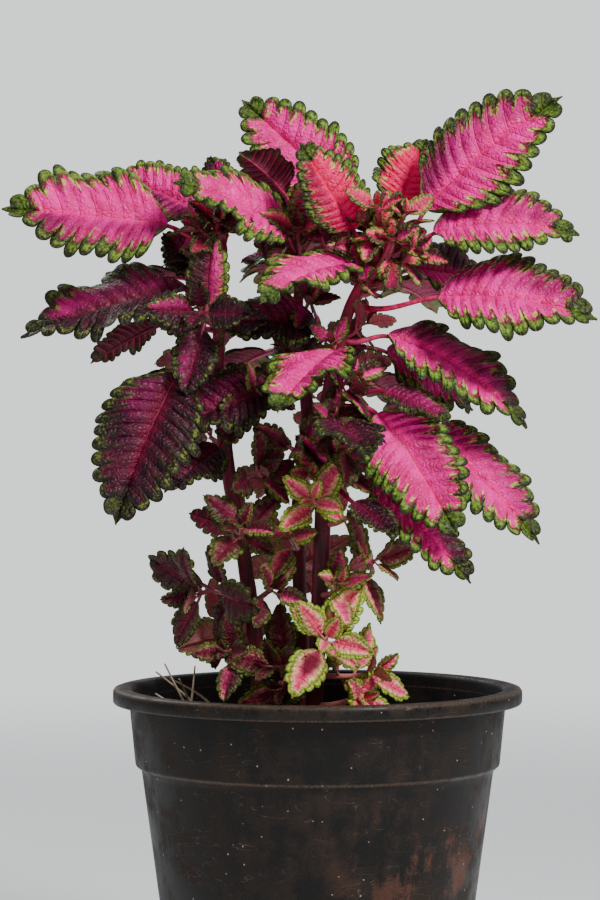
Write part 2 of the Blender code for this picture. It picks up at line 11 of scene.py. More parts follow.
import bpy
import numpy as np
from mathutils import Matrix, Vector


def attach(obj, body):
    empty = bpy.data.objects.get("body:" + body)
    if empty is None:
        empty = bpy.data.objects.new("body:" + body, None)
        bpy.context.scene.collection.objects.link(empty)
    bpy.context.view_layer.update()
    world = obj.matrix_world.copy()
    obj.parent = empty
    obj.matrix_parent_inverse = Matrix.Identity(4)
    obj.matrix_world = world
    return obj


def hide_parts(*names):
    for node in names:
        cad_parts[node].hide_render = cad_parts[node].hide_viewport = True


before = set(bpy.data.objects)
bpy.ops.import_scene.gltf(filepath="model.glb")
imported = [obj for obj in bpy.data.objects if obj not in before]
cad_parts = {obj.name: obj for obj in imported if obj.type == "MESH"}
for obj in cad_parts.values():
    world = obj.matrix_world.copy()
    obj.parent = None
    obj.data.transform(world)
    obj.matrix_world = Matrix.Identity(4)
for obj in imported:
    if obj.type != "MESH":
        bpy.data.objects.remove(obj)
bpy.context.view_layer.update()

MM = 0.001
UP = np.array([0.0, 0.0, 1.0])
FRONT = np.array([0.0, -1.0, 0.0])

# %% [markdown]
# ## Small helpers
# Every operator works on what is selected, and the loaded CAD nodes start out selected, so a piece is
# always picked alone first. All sizes are kept in millimetres, as a gardener would read them off a ruler,
# and turned into metres when they go into a mesh.

# %% Helpers that pick, add, copy and seal a mesh
WELD = 0.00001  # metres within which two points are one


def pick(*objects):
    bpy.ops.object.select_all(action="DESELECT")
    for obj in objects:
        obj.select_set(True)
    bpy.context.view_layer.objects.active = objects[0]


def added(operator, name, **settings):
    """A new primitive, with nothing else selected."""
    bpy.ops.object.select_all(action="DESELECT")
    operator(**settings)
    obj = bpy.context.object
    obj.name = obj.data.name = name
    return obj


def linked(name, data):
    """An object for this mesh, lamp or camera, in the scene."""
    obj = bpy.data.objects.new(name, data)
    bpy.context.scene.collection.objects.link(obj)
    return obj


def points_of(obj):
    """The vertices as rows of (x, y, z)."""
    points = np.empty(len(obj.data.vertices) * 3)
    obj.data.vertices.foreach_get("co", points)
    return points.reshape(-1, 3)


def move_points(obj, points):
    obj.data.vertices.foreach_set("co", np.asarray(points).ravel())
    obj.data.update()


def copy_of(master, points):
    """A copy of a master piece with its own mesh, its vertices at these points in millimetres."""
    obj = linked(master.name, master.data.copy())
    move_points(obj, np.asarray(points) * MM)
    return obj


def seal(obj, fill_ends):
    """Merges the points that meet at a seam or pole, fills open ends if asked, and turns faces outwards."""
    pick(obj)
    bpy.ops.object.mode_set(mode="EDIT")
    bpy.ops.mesh.select_all(action="SELECT")
    bpy.ops.mesh.remove_doubles(threshold=WELD)
    if fill_ends:
        bpy.ops.mesh.select_all(action="DESELECT")
        bpy.ops.mesh.select_non_manifold()
        bpy.ops.mesh.edge_face_add()
    bpy.ops.mesh.select_all(action="SELECT")
    bpy.ops.mesh.normals_make_consistent(inside=False)
    bpy.ops.object.mode_set(mode="OBJECT")


# %% Helpers that finish a piece
def apply_all(obj):
    pick(obj)
    for modifier in list(obj.modifiers):
        bpy.ops.object.modifier_apply(modifier=modifier.name)


def joined(objects, name):
    pick(*objects)
    if len(objects) > 1:
        bpy.ops.object.join()
    obj = bpy.context.view_layer.objects.active
    obj.name = obj.data.name = name
    return obj


def hand_over(objects, node, sharp_degrees=60):
    """The piece, smooth but at sharp edges, rides on the part's one body and stands for its CAD node."""
    obj = joined(objects, node + "_fine")
    pick(obj)
    bpy.ops.object.shade_smooth_by_angle(angle=math.radians(sharp_degrees))
    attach(obj, "root")
    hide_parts(node)


def unit(v):
    return v / np.linalg.norm(v)


def ramp(x, low, high):
    """A smooth step from 0 at low to 1 at high."""
    x = np.clip((np.asarray(x, float) - low) / (high - low), 0, 1)
    return x * x * (3 - 2 * x)


# %% [markdown]
# ## Shader helpers
# A leaf's colours are a sum of soft masks: how far a point is from the midrib, how far from the next side
# vein, and some noise. The nodes could be placed one by one, but the sums are easier to read as sums, so
# one small class lets a socket be added and multiplied.

# %% A socket that does arithmetic
class Value:
    def __init__(self, paint, socket):
        self.paint = paint
        self.socket = socket

    def math(self, operation, other, swap=False):
        first, second = (other, self) if swap else (self, other)
        return self.paint.node("ShaderNodeMath", {"operation": operation}, {0: first, 1: second})

    def __add__(self, other):
        return self.math("ADD", other)

    def __radd__(self, other):
        return self.math("ADD", other, True)

    def __sub__(self, other):
        return self.math("SUBTRACT", other)

    def __rsub__(self, other):
        return self.math("SUBTRACT", other, True)

    def __mul__(self, other):
        return self.math("MULTIPLY", other)

    def __rmul__(self, other):
        return self.math("MULTIPLY", other, True)

    def __abs__(self):
        return self.math("ABSOLUTE", 0.0)


# %% One material and its patterns
class Paint:
    """One material: its nodes, its Principled shader, and the few patterns that the finishes share."""

    def __init__(self, name, roughness, **constants):
        self.material = bpy.data.materials.new(name)
        self.material.use_nodes = True
        self.tree = self.material.node_tree
        self.shader = self.tree.nodes["Principled BSDF"]
        self.shader.inputs["Roughness"].default_value = roughness
        for key, value in constants.items():
            self.shader.inputs[key.replace("_", " ")].default_value = value

    def node(self, kind, settings=None, sockets=None, out=0):
        """Any node: its type, its settings, its sockets' values or links, and which output is read."""
        made = self.tree.nodes.new(kind)
        for key, value in (settings or {}).items():
            setattr(made, key, value)
        for key, value in (sockets or {}).items():
            self.fill(made.inputs[key], value)
        return Value(self, made.outputs[out])

    def fill(self, socket, value):
        if isinstance(value, Value):
            self.tree.links.new(value.socket, socket)
        else:
            socket.default_value = value

    def place(self):
        """The point on the object, in metres."""
        return self.node("ShaderNodeTexCoord", out="Object")

    def split(self, vector, axis):
        return self.node("ShaderNodeSeparateXYZ", None, {0: vector}, out=axis)

    def scaled(self, vector, factors):
        return self.node("ShaderNodeVectorMath", {"operation": "MULTIPLY"}, {0: vector, 1: factors})

    def length(self, vector):
        return self.node("ShaderNodeVectorMath", {"operation": "LENGTH"}, {0: vector}, out="Value")

    def noise(self, size_mm, detail, rough=0.55, stretch=None):
        """Noise from 0 to 1 whose lumps are about this size."""
        where = self.scaled(self.place(), stretch) if stretch else self.place()
        sockets = {"Vector": where, "Scale": 1000 / size_mm, "Detail": detail, "Roughness": rough}
        return self.node("ShaderNodeTexNoise", None, sockets)

    def cells(self, size_mm, feature):
        sockets = {"Vector": self.place(), "Scale": 1000 / size_mm}
        return self.node("ShaderNodeTexVoronoi", {"feature": feature}, sockets)

    def attribute(self, name):
        return self.node("ShaderNodeAttribute", {"attribute_name": name}, out="Vector")

    def step(self, value, low, high):
        """A smooth step of a socket, from 0 at low to 1 at high. low may be the larger."""
        settings = {"interpolation_type": "SMOOTHSTEP"}
        sockets = {"Value": value, "From Min": low, "From Max": high}
        return self.node("ShaderNodeMapRange", settings, sockets)

    def mix(self, share, first, second):
        """A colour between two colours or colour sockets."""
        first, second = (c if isinstance(c, Value) else (*c, 1) for c in (first, second))
        return self.node("ShaderNodeMix", {"data_type": "RGBA"}, {0: share, 6: first, 7: second}, out=2)

    def use(self, name, value):
        self.tree.links.new(value.socket, self.shader.inputs[name])

    def bump(self, height, distance_mm, strength):
        sockets = {"Height": height, "Distance": distance_mm * MM, "Strength": strength}
        self.use("Normal", self.node("ShaderNodeBump", None, sockets, out="Normal"))


def srgb(*levels):
    """A colour as a painter reads it, 0 to 255, in the linear light that a shader wants."""
    return tuple((v / 255 / 12.92) if v <= 10 else ((v / 255 + 0.055) / 1.055) ** 2.4 for v in levels)


# %% [markdown]
# ## The leaf's colours
# A coleus leaf is pink along its midrib and side veins. Outwards the pink breaks up into dark
# purple-brown blotches with cream between them, and the rounded lobes of the edge are green. Old
# leaves are burgundy instead of pink, and leaves that stand in shade get the same burgundy as painted
# shade, so a leaf's darkness is partly its own colour and partly painted shade. The small new ones are
# salmon and cream. A photograph laid over each leaf could show that, but it would carry its light with
# it and blur close up. So every leaf carries two attributes and the paint works from them: veins holds
# (side vein number, signed distance from the midrib, share of the length), and habit holds (darkness,
# paleness, chance).

# %% The leaf's palette
DEEP_PINK, BRIGHT_PINK, CORAL = srgb(214, 0, 116), srgb(252, 2, 156), srgb(240, 10, 84)
STREAK_PINK, VEIN_PINK, EDGE_VEIN = srgb(255, 84, 190), srgb(255, 110, 180), srgb(228, 10, 116)
# The wines and the SHADED colours below are for dark leaves: partly their own burgundy, partly painted shade.
BLACK_WINE, WINE, MIDRIB_WINE = srgb(28, 0, 11), srgb(68, 1, 31), srgb(112, 2, 48)
EDGE_VEIN_WINE = srgb(96, 2, 42)
SALMON, PEACH, MAROON = srgb(234, 78, 112), srgb(242, 182, 140), srgb(78, 6, 20)
BROWN, SHADED_BROWN = srgb(98, 20, 40), srgb(30, 6, 14)
CREAM, SHADED_CREAM = srgb(196, 192, 86), srgb(58, 34, 18)
YOUNG_BROWN, YOUNG_CREAM = srgb(222, 126, 104), srgb(226, 220, 130)
# GREEN, SHADED_GREEN and YOUNG_GREEN are painted highlights on the lobes' middles; the dark greens are the
# lobes' own colour.
DARK_GREEN, GREEN, PALE_GREEN = srgb(32, 48, 6), srgb(120, 154, 42), srgb(176, 186, 84)
SHADED_DARK_GREEN, SHADED_GREEN = srgb(26, 22, 8), srgb(112, 120, 38)
YOUNG_DARK_GREEN, YOUNG_GREEN = srgb(112, 140, 30), srgb(178, 196, 70)
RIM_BROWN = srgb(38, 30, 16)
GLOW = {"Subsurface_Weight": 0.1, "Subsurface_Scale": 0.002, "Subsurface_Radius": (1.0, 0.2, 0.35)}

# %% Where a point lies on its leaf
STREAKS_ALONG, STREAKS_OUT, STREAK_SHIFT = 4.6, 4.2, 60.0
Spot = namedtuple("Spot", "across between streak dark pale chance")


def leaf_spot(p):
    """The sockets that every leaf finish starts from, with streaks that run out along the side veins."""
    veins, habit = p.attribute("veins"), p.attribute("habit")
    vein, signed, share = (p.split(veins, axis) for axis in "XYZ")
    darkness, pale, chance = (p.split(habit, axis) for axis in "XYZ")
    spread = {0: vein * STREAKS_ALONG, 1: signed * STREAKS_OUT, 2: chance * STREAK_SHIFT}
    sockets = {"Vector": p.node("ShaderNodeCombineXYZ", None, spread), "Scale": 1.0, "Detail": 4.0}
    streak = p.node("ShaderNodeTexNoise", None, sockets)
    between = abs(vein.math("FRACT", 0.0) - 0.5) * 2.0
    # The darkness is partly the leaf's own burgundy and partly painted shade; broad noise paints it in
    # patches.
    dark = p.step(darkness + (p.noise(46, 2) - 0.5) * 0.9, 0.12, 0.85)
    near_tip = p.step(share + (streak - 0.5) * 0.1, 0.7, 0.87)
    across = abs(signed).math("MAXIMUM", near_tip * 0.94)
    return Spot(across, between, streak, dark, pale, chance)


# %% The upper side's three zones
def heart_colour(p, at, blotch):
    """The middle: pink or coral, wine where the leaf is dark (partly its own burgundy, partly painted shade),
    salmon while new.
    """
    pink = p.mix(p.step(blotch, 0.35, 0.65), DEEP_PINK, BRIGHT_PINK)
    pink = p.mix(p.step(at.chance, 0.6, 1.0), pink, CORAL)
    pink = p.mix(p.step(at.streak, 0.52, 0.72) * 0.25, pink, STREAK_PINK)
    pink = p.mix(p.step(at.between, 0.14, 0.02) * p.step(at.across, 0.8, 0.2) * 0.3, pink, VEIN_PINK)
    wine = p.mix(p.step(at.streak, 0.4, 0.6), BLACK_WINE, WINE)
    wine = p.mix(p.step(at.across, 0.32, 0.02) * 0.8, wine, MIDRIB_WINE)
    new = p.mix(p.step(at.across, 0.22, 0.6), SALMON, PEACH)
    return p.mix(at.pale, p.mix(at.dark, pink, wine), p.mix(at.dark * 0.9, new, MAROON))


def band_colour(p, at, fleck):
    """The broken band between heart and lobes: brown blotches, cream between them, pink along the veins."""
    # On dark leaves the band takes its shaded colours, partly its own and partly painted shade.
    brown = p.mix(at.dark, BROWN, SHADED_BROWN)
    cream = p.mix(at.dark, CREAM, SHADED_CREAM)
    band = p.mix(p.step(at.streak + (fleck - 0.5) * 0.3, 0.47, 0.6), brown, cream)
    band = p.mix(p.step(at.between, 0.3, 0.05) * 0.7, band, p.mix(at.dark, EDGE_VEIN, EDGE_VEIN_WINE))
    fresh = p.mix(p.step(at.streak, 0.45, 0.6), YOUNG_BROWN, YOUNG_CREAM)
    return p.mix(at.pale * (1 - at.dark * 0.7), band, fresh)


def lobe_colour(p, at, fleck):
    """The green lobes: dark green with a painted highlight in the middle of each, and a thin brown rim."""
    # Painted highlight: the middle of each domed lobe is lighter green, as where light catches it.
    lobe_highlight = p.step(at.between, 0.8, 0.25) * p.step(at.across, 0.98, 0.88) * p.step(at.across, 0.76, 0.86)
    green = p.mix(lobe_highlight * p.step(fleck, 0.3, 0.6), DARK_GREEN, GREEN)
    green = p.mix(p.step(at.streak, 0.56, 0.66) * 0.3, green, PALE_GREEN)
    shady = p.mix(lobe_highlight * p.step(fleck, 0.45, 0.65), SHADED_DARK_GREEN, SHADED_GREEN)
    fresh = p.mix(lobe_highlight, YOUNG_DARK_GREEN, YOUNG_GREEN)
    green = p.mix(at.pale * (1 - at.dark * 0.75), p.mix(at.dark, green, shady), fresh)
    rim = p.step(at.across + (at.streak - 0.5) * 0.08, 0.93, 1.0) * (0.75 - at.pale * 0.6)
    return p.mix(rim, green, RIM_BROWN)


# %% The two sides of a leaf and its stalk
def leaf_top_paint():
    p = Paint("leaf_top", roughness=0.5, Specular_IOR_Level=0.3, **GLOW)
    at = leaf_spot(p)
    blotch, fleck = p.noise(11, 3), p.noise(2.2, 3)
    reach = at.across + (blotch - 0.5) * 0.3 + (at.streak - 0.5) * 0.5
    heart = p.step(reach + at.between * 0.12 - 0.02 + at.pale * 0.14, 0.76, 0.62)
    reach = at.across + (at.streak - 0.5) * 0.24
    lobe = p.step(reach - at.between * 0.05 + at.pale * 0.09, 0.71, 0.81)
    inner = p.mix(heart, band_colour(p, at, fleck), heart_colour(p, at, blotch))
    p.use("Base Color", p.mix(lobe, inner, lobe_colour(p, at, fleck)))
    p.use("Roughness", 0.42 + p.step(fleck, 0.3, 0.7) * 0.2)
    net = p.step(p.cells(3.0, "DISTANCE_TO_EDGE"), 0.0, 0.3)
    p.bump(net * 0.7 + fleck * 0.25 - p.step(at.between, 0.14, 0.0) * 0.8, 0.8, 0.8)
    return p.material


def leaf_under_paint():
    """The underside is duller and paler, and its veins stand out instead of lying in grooves."""
    p = Paint("leaf_under", roughness=0.55, **GLOW)
    at = leaf_spot(p)
    fleck = p.noise(2.0, 3)
    lobe = p.step(at.across + (at.streak - 0.5) * 0.5, 0.66, 0.86)
    middle = p.mix(p.step(fleck, 0.35, 0.65), srgb(132, 12, 60), srgb(178, 40, 100))
    # Where the leaf is dark, partly its own burgundy and partly painted shade, the underside darkens too.
    middle = p.mix(at.dark, middle, srgb(84, 8, 34))
    middle = p.mix(at.pale, middle, srgb(226, 150, 140))
    edge = p.mix(at.pale, p.mix(at.dark, srgb(120, 126, 62), srgb(64, 54, 28)), srgb(186, 196, 108))
    vein = p.step(at.between, 0.22, 0.04) * p.step(at.across, 0.95, 0.6)
    vein_colour = p.mix(at.pale, srgb(200, 40, 104), srgb(226, 150, 150))
    p.use("Base Color", p.mix(vein * 0.6, p.mix(lobe, middle, edge), vein_colour))
    net = p.step(p.cells(3.0, "DISTANCE_TO_EDGE"), 0.2, 0.0)
    p.bump(vein * 1.2 + net * 0.5 + fleck * 0.2, 0.5, 0.7)
    return p.material


def petiole_paint():
    """Leaf stalks and midribs: crimson, darker where the leaf is dark (partly painted shade), paler when new,
    with fine flecks.
    """
    p = Paint("petiole", roughness=0.4, Subsurface_Weight=0.08, Subsurface_Scale=0.002)
    habit = p.attribute("habit")
    colour = p.mix(p.step(p.noise(3, 3), 0.35, 0.65), srgb(160, 8, 58), srgb(214, 36, 104))
    colour = p.mix(p.split(habit, "X") * 0.8, colour, srgb(92, 6, 30))
    colour = p.mix(p.split(habit, "Y") * 0.6, colour, srgb(206, 150, 130))
    p.use("Base Color", colour)
    p.bump(p.noise(0.8, 2), 0.15, 0.5)
    return p.material


LEAF_MATERIALS = leaf_top_paint(), leaf_under_paint(), petiole_paint()
UNDER, STALK = 1, 2  # their places in that list
print("leaf finishes", [material.name for material in LEAF_MATERIALS])

# %% [markdown]
# ## Masters for the blade and for round stalks
# All blades are one flat sheet, bent in many ways, and all stalks are one tube. Each leaf could be drawn
# on its own, but they differ only in how they bend, so a grid is cut once, with columns along the side
# veins and its vein coordinates kept as an attribute, and each leaf is a copy of it with its own mesh.
# The tube is a grid as well, rolled up, welded at its seam and filled at its ends. Small leaves get a
# coarser sheet and tube.

# %% The sheet and tube masters
TIP_SHARE = 1.0  # the pointed end counts as one more lobe
CROWDING = 1.25  # spaces the rows across the blade


def sheet_master(name, lobes, per_lobe, rows):
    """A flat sheet, and its rows of (vein number, -1 to 1 across, share of the length)."""
    length = lobes + TIP_SHARE
    columns = int(length * per_lobe)
    obj = added(bpy.ops.mesh.primitive_grid_add, name, x_subdivisions=columns, y_subdivisions=rows, size=2)
    x, y, _ = points_of(obj).T
    vein = (x + 1) / 2 * length
    across = np.sign(y) * (1 - (1 - np.abs(y)) ** CROWDING)
    at = np.column_stack([vein, across, vein / length])
    obj.data.attributes.new("veins", "FLOAT_VECTOR", "POINT").data.foreach_set("vector", at.ravel())
    for material in LEAF_MATERIALS:
        obj.data.materials.append(material)
    return obj, at


def closed_tube(name, sides, rings):
    """A closed tube, and its rows of (turn, place along), where one turn and the whole length are 1."""
    obj = added(bpy.ops.mesh.primitive_grid_add, name, x_subdivisions=sides, y_subdivisions=rings, size=1)
    turn, along = (points_of(obj)[:, :2] + 0.5).T
    move_points(obj, np.column_stack([np.cos(turn * math.tau), np.sin(turn * math.tau), along]))
    seal(obj, fill_ends=True)
    x, y, along = points_of(obj).T
    return obj, np.column_stack([np.arctan2(y, x) / math.tau, along])


def stalk_master(name, sides, rings):
    obj, at = closed_tube(name, sides, rings)
    for material in LEAF_MATERIALS:
        obj.data.materials.append(material)
    obj.data.polygons.foreach_set("material_index", [STALK] * len(obj.data.polygons))
    return obj, at


# %% Three kinds of leaf
Kind = namedtuple("Kind", "lobes lobe_depth thickness sheet at stalk stalk_at")


def kind_of(name, lobes, lobe_depth, thickness, sheet_grid, stalk_grid):
    sheet, at = sheet_master(name + "_sheet", lobes, *sheet_grid)
    stalk, stalk_at = stalk_master(name + "_stalk", *stalk_grid)
    print(name, "sheet", len(sheet.data.vertices), "points, its stalk", len(stalk.data.vertices))
    return Kind(lobes, lobe_depth, thickness, sheet, at, stalk, stalk_at)


LARGE = kind_of("large", 11, 0.112, 0.55, (8, 22), (10, 34))
SMALL = kind_of("small", 6, 0.09, 0.5, (5, 10), (9, 9))
TINY = kind_of("tiny", 5, 0.09, 0.5, (4, 7), (7, 6))

# %% [markdown]
# ## The shape of one blade
# The outline is egg-shaped with a drawn-out tip, and its edge is a row of rounded lobes, one at the end
# of each side vein. Sculpting would shape one leaf well, and no two alike. So the flat outline is arched
# along its midrib, folded a little into a V, cupped, waved at the edge and quilted between its veins, all
# by functions of (vein number, place across), and each blade draws its own small departures from them.

# %% One blade's frame and its own departures
CURLS, LOBE_SIZES, RUFFLES = (-1, 1), (0.8, 1.15), (0.6, 1.5)  # the range of each lobe's or blade's own share
TWIST, DRIFT = 9, 0.035  # the most that a blade twists (degrees) and drifts aside (share of its length)


class Blade:
    """Where a blade lies, how large it is, and its own chance departures from the common form."""

    def __init__(self, kind, base, along, normal, length, width, arch, waves, seed):
        self.base = np.array(base, float)
        self.along = unit(np.array(along, float))
        self.normal = unit(normal - self.along * np.dot(normal, self.along))
        self.side = np.cross(self.normal, self.along)
        self.length, self.width, self.arch = length, width, math.radians(arch)
        self.kind, self.waves, self.depth = kind, waves, kind.lobe_depth * length
        self.chance = np.random.default_rng(seed)
        self.curl = self.chance.uniform(*CURLS, (2, kind.lobes + 2))
        self.grow = self.chance.uniform(*LOBE_SIZES, (2, kind.lobes + 2))
        self.twist = math.radians(self.chance.uniform(-TWIST, TWIST))
        self.drift = self.chance.uniform(-DRIFT, DRIFT) * length
        self.ripple = self.chance.uniform(0, 6.28, 3)
        self.ruffled = self.chance.uniform(*RUFFLES)

    def start(self):
        """The direction in which the midrib sets out."""
        return self.along * math.cos(self.arch / 2) + self.normal * math.sin(self.arch / 2)


# %% Bend a flat blade
FOLD, CUP = math.radians(22), math.radians(34)  # the V at the midrib, and how far each half bends back down
WAVE, WAVE_PACE, WAVE_SHIFT = 0.035, 1.3, 2.0  # the edge's waves: height, pace, shift between the halves
TWIST_CENTRE = 0.3  # the place along the blade that stays level


def hump(q):
    """0 where q is 0 or 1, at both ends, and 1 in the middle."""
    return np.sin(math.pi * np.clip(q, 0, 1))


def bent(blade, x, y, lift):
    """Points in space for places x along the midrib and y to its side, raised by lift."""
    q = x / blade.length
    bend, half = blade.arch * (q - 0.5), blade.arch / 2
    radius = blade.length / blade.arch
    rib = np.outer(radius * (np.sin(bend) + math.sin(half)), blade.along)
    rib += np.outer(radius * (np.cos(bend) - math.cos(half)), blade.normal)
    up = np.outer(np.cos(bend), blade.normal) + np.outer(np.sin(bend), blade.along)
    share = 2 * np.abs(y) / blade.width
    slope = FOLD - CUP * share / 2
    phase = blade.waves * WAVE_PACE * q + (y > 0) * WAVE_SHIFT
    rise = np.abs(y) * np.sin(slope) + blade.width * WAVE * share**2 * np.sin(phase) + lift
    flat = y * np.cos(slope)
    turn = blade.twist * (q - TWIST_CENTRE)
    sideways = flat * np.cos(turn) - rise * np.sin(turn) + blade.drift * hump(q)
    upwards = flat * np.sin(turn) + rise * np.cos(turn)
    return blade.base + rib + up * upwards[:, None] + np.outer(sideways, blade.side)


# %% The relief of a blade
FULL_WIDTH = 50  # the blade width in millimetres for which the heights below are given
QUILT = 1.4  # how high the blade bulges between two side veins
GROOVE, GROOVE_SHARE = 0.9, 0.05  # the midrib's groove: depth, and its width as a share of the half blade
LOBE_START, DOME = 0.74, 1.1  # the place across where the lobes begin to be domed, and how high
CURL, CURL_DOWN = 2.4, 0.8  # how far a lobe may curl up or down, and how far all of them droop
RUFFLE, RUFFLE_PACE = 2.8, 1.25  # the edge's ruffle: height, and pace from vein to vein


def relief(blade, vein, f, k, reach, side, in_tip):
    """A groove along the midrib, quilting between the veins, domed and curled lobes, a ruffled edge."""
    scale = blade.width / FULL_WIDTH
    fade = hump(vein / (blade.kind.lobes + 1)) ** 0.5
    wave = np.where(in_tip, 0, hump(f))
    quilt = QUILT * scale * np.abs(np.cos(math.pi * f)) ** 0.8 * np.sin(math.pi * reach**0.8) * fade
    groove = -GROOVE * scale * np.exp(-((reach / GROOVE_SHARE) ** 2))
    out = np.clip((reach - LOBE_START) / (1 - LOBE_START), 0, 1)
    dome = DOME * scale * np.sin(math.pi * out) * wave
    curl = (blade.curl[side, k] * CURL - CURL_DOWN) * scale * out**2 * wave
    swing = np.sin(blade.ripple[side] + vein * RUFFLE_PACE)
    ruffle = RUFFLE * blade.ruffled * scale * swing * ramp(reach, 0.35, 1.0) * fade
    return quilt + groove + dome + curl + ruffle


# %% The lobed outline
LAST_LOBE = 0.95  # where along the blade the last lobe ends and the tip begins
RIB_LEAD = 0.13  # how far back down the midrib a side vein leaves it
EGG, EGG_FULLNESS = 0.74, 0.95  # below 1, the widest place lies nearer the base, and the egg is fuller
LOBE_ROOT = 0.8  # the share of the lobes' depth that lies within the blade's width
LOBE_ROUNDNESS, LOBE_BULGE = 0.62, 0.1  # blunt lobes, a little wider than their roots
LOBE_LEAN, VEIN_BOW = 0.35, 0.02  # how far the lobes lean to the tip, and the side veins bow back
SHRINK, LATE_SHRINK = 0.35, 0.45  # how much smaller the lobes get along the blade, and near its end
NECK, TIP_HALF_WIDTH = 1.3, 0.25  # half widths in millimetres: at the stalk of a 100 mm blade, and in the tip


def blade_points(blade, at):
    """Points of the blade for rows of (vein number, place across)."""
    vein, t = at[:, 0], at[:, 1]
    lobes, side, reach = blade.kind.lobes, (t > 0).astype(int), np.abs(t)
    k = np.minimum(vein.astype(int), lobes)
    f = vein - k
    in_tip = k >= lobes
    q = np.where(in_tip, LAST_LOBE + (1 - LAST_LOBE) * f, LAST_LOBE * vein / lobes)
    pitch = LAST_LOBE * blade.length / lobes
    body = (blade.width / 2 - blade.depth * LOBE_ROOT) * hump(np.clip(q, 0, 1) ** EGG) ** EGG_FULLNESS
    wave = hump(f)
    shrink = (1 - SHRINK * q) * (1 - LATE_SHRINK * ramp(q, 0.72, LAST_LOBE)) * ramp(vein, 0, 1.2)
    out = np.where(in_tip, 0, blade.depth * wave**LOBE_ROUNDNESS * shrink * blade.grow[side, k])
    round_x = pitch * (k + 0.5) - pitch / 2 * np.cos(math.pi * f) * (1 + LOBE_BULGE * wave)
    edge_x = np.where(in_tip, q * blade.length, round_x + out * LOBE_LEAN)
    edge_y = np.maximum(body, np.where(in_tip, TIP_HALF_WIDTH, NECK * blade.length / 100)) + out
    rib_x = blade.length * (q - RIB_LEAD * np.sin(math.pi * q))
    x = rib_x + (edge_x - rib_x) * reach - VEIN_BOW * blade.length * np.sin(math.pi * reach) * hump(q)
    return bent(blade, x, np.sign(t) * edge_y * reach, relief(blade, vein, f, k, reach, side, in_tip))


# %% [markdown]
# ## Stalks
# A leaf stalk leaves the stem square to it, droops or rises in one curve, and runs on under the blade as
# its midrib. A curve object with a bevel could make it, but the same tube master does, and it takes the
# leaf's attributes with it: its first part follows the curve, the rest follows the blade.

# %% Tubes along a curve
PULL_OFF, PULL_ON = 0.4, 0.35  # how strongly a stalk keeps to its directions at its start and end


def curve(handles, t):
    t = np.asarray(t)[:, None]
    s = 1 - t
    a, b, c, d = handles
    return a * s**3 + b * (3 * s * s * t) + c * (3 * s * t * t) + d * t**3


def handles_between(start, leaving, end, arriving):
    """The handles of a curve that sets out in one direction and arrives in another."""
    span = np.linalg.norm(end - start)
    return start, start + leaving * span * PULL_OFF, end - arriving * span * PULL_ON, end


def tube_points(at, path, side, radii):
    """Points of a tube about a path. at holds (turn, place along); side is a direction that it keeps to."""
    order = np.linspace(0, 1, len(path))
    heading = np.gradient(path, axis=0)
    heading /= np.linalg.norm(heading, axis=1)[:, None]
    across = side - heading * np.sum(heading * side, axis=1)[:, None]
    across /= np.linalg.norm(across, axis=1)[:, None]
    above = np.cross(heading, across)

    def read(values):
        return np.column_stack([np.interp(at[:, 1], order, values[:, i]) for i in range(3)])

    turn = at[:, 0] * math.tau
    radius = np.interp(at[:, 1], order, radii)[:, None]
    ring = read(across) * np.cos(turn)[:, None] + read(above) * np.sin(turn)[:, None]
    return read(path) + ring * radius


# %% A blade and a stalk as pieces
RIB_SINK = 0.35  # how far the midrib's line lies under the blade's groove


def set_habit(obj, values, painted_shade=0.0):
    """Gives every vertex of a piece its (darkness, paleness, chance). The painted shade, if any, is added to
    the darkness.
    """
    rows = np.tile(np.array(values, float), (len(obj.data.vertices), 1))
    rows[:, 0] = np.clip(rows[:, 0] + painted_shade, 0, 1)
    obj.data.attributes.new("habit", "FLOAT_VECTOR", "POINT").data.foreach_set("vector", rows.ravel())


def blade_piece(blade, habit):
    """The blade with its thickness, and painted shade that makes one half a little darker, as if light fell
    on a folded leaf.
    """
    kind = blade.kind
    obj = copy_of(kind.sheet, blade_points(blade, kind.at))
    # Painted shade: one half of the blade is darkened at random, and the other lightened, as on a folded leaf
    # lit from one side.
    across, painted_shade = kind.at[:, 1], blade.chance.uniform(-0.05, 0.5)
    set_habit(obj, habit, painted_shade * np.sign(across) * ramp(np.abs(across), 0.0, 0.3))
    solidify = obj.modifiers.new("Thickness", "SOLIDIFY")
    solidify.thickness = kind.thickness * MM
    solidify.offset = 0
    solidify.material_offset = UNDER
    apply_all(obj)
    return obj


def stalk_piece(kind, path, side, radii, habit):
    obj = copy_of(kind.stalk, tube_points(kind.stalk_at, path, side, radii))
    set_habit(obj, habit)
    return obj


def rib_path(blade, shares):
    """The midrib's line, a little under the blade."""
    x = np.asarray(shares) * blade.length
    sunk = np.full(len(x), -GROOVE * blade.width / FULL_WIDTH - RIB_SINK)
    return bent(blade, x, np.zeros(len(x)), sunk)


# %% [markdown]
# ## Where the stems run
# The three stems are square, as in all the mint family. Leaves and shoots sit on them, so their routes
# come before both. A route is a few points read off the CAD model, with a smooth curve through them.

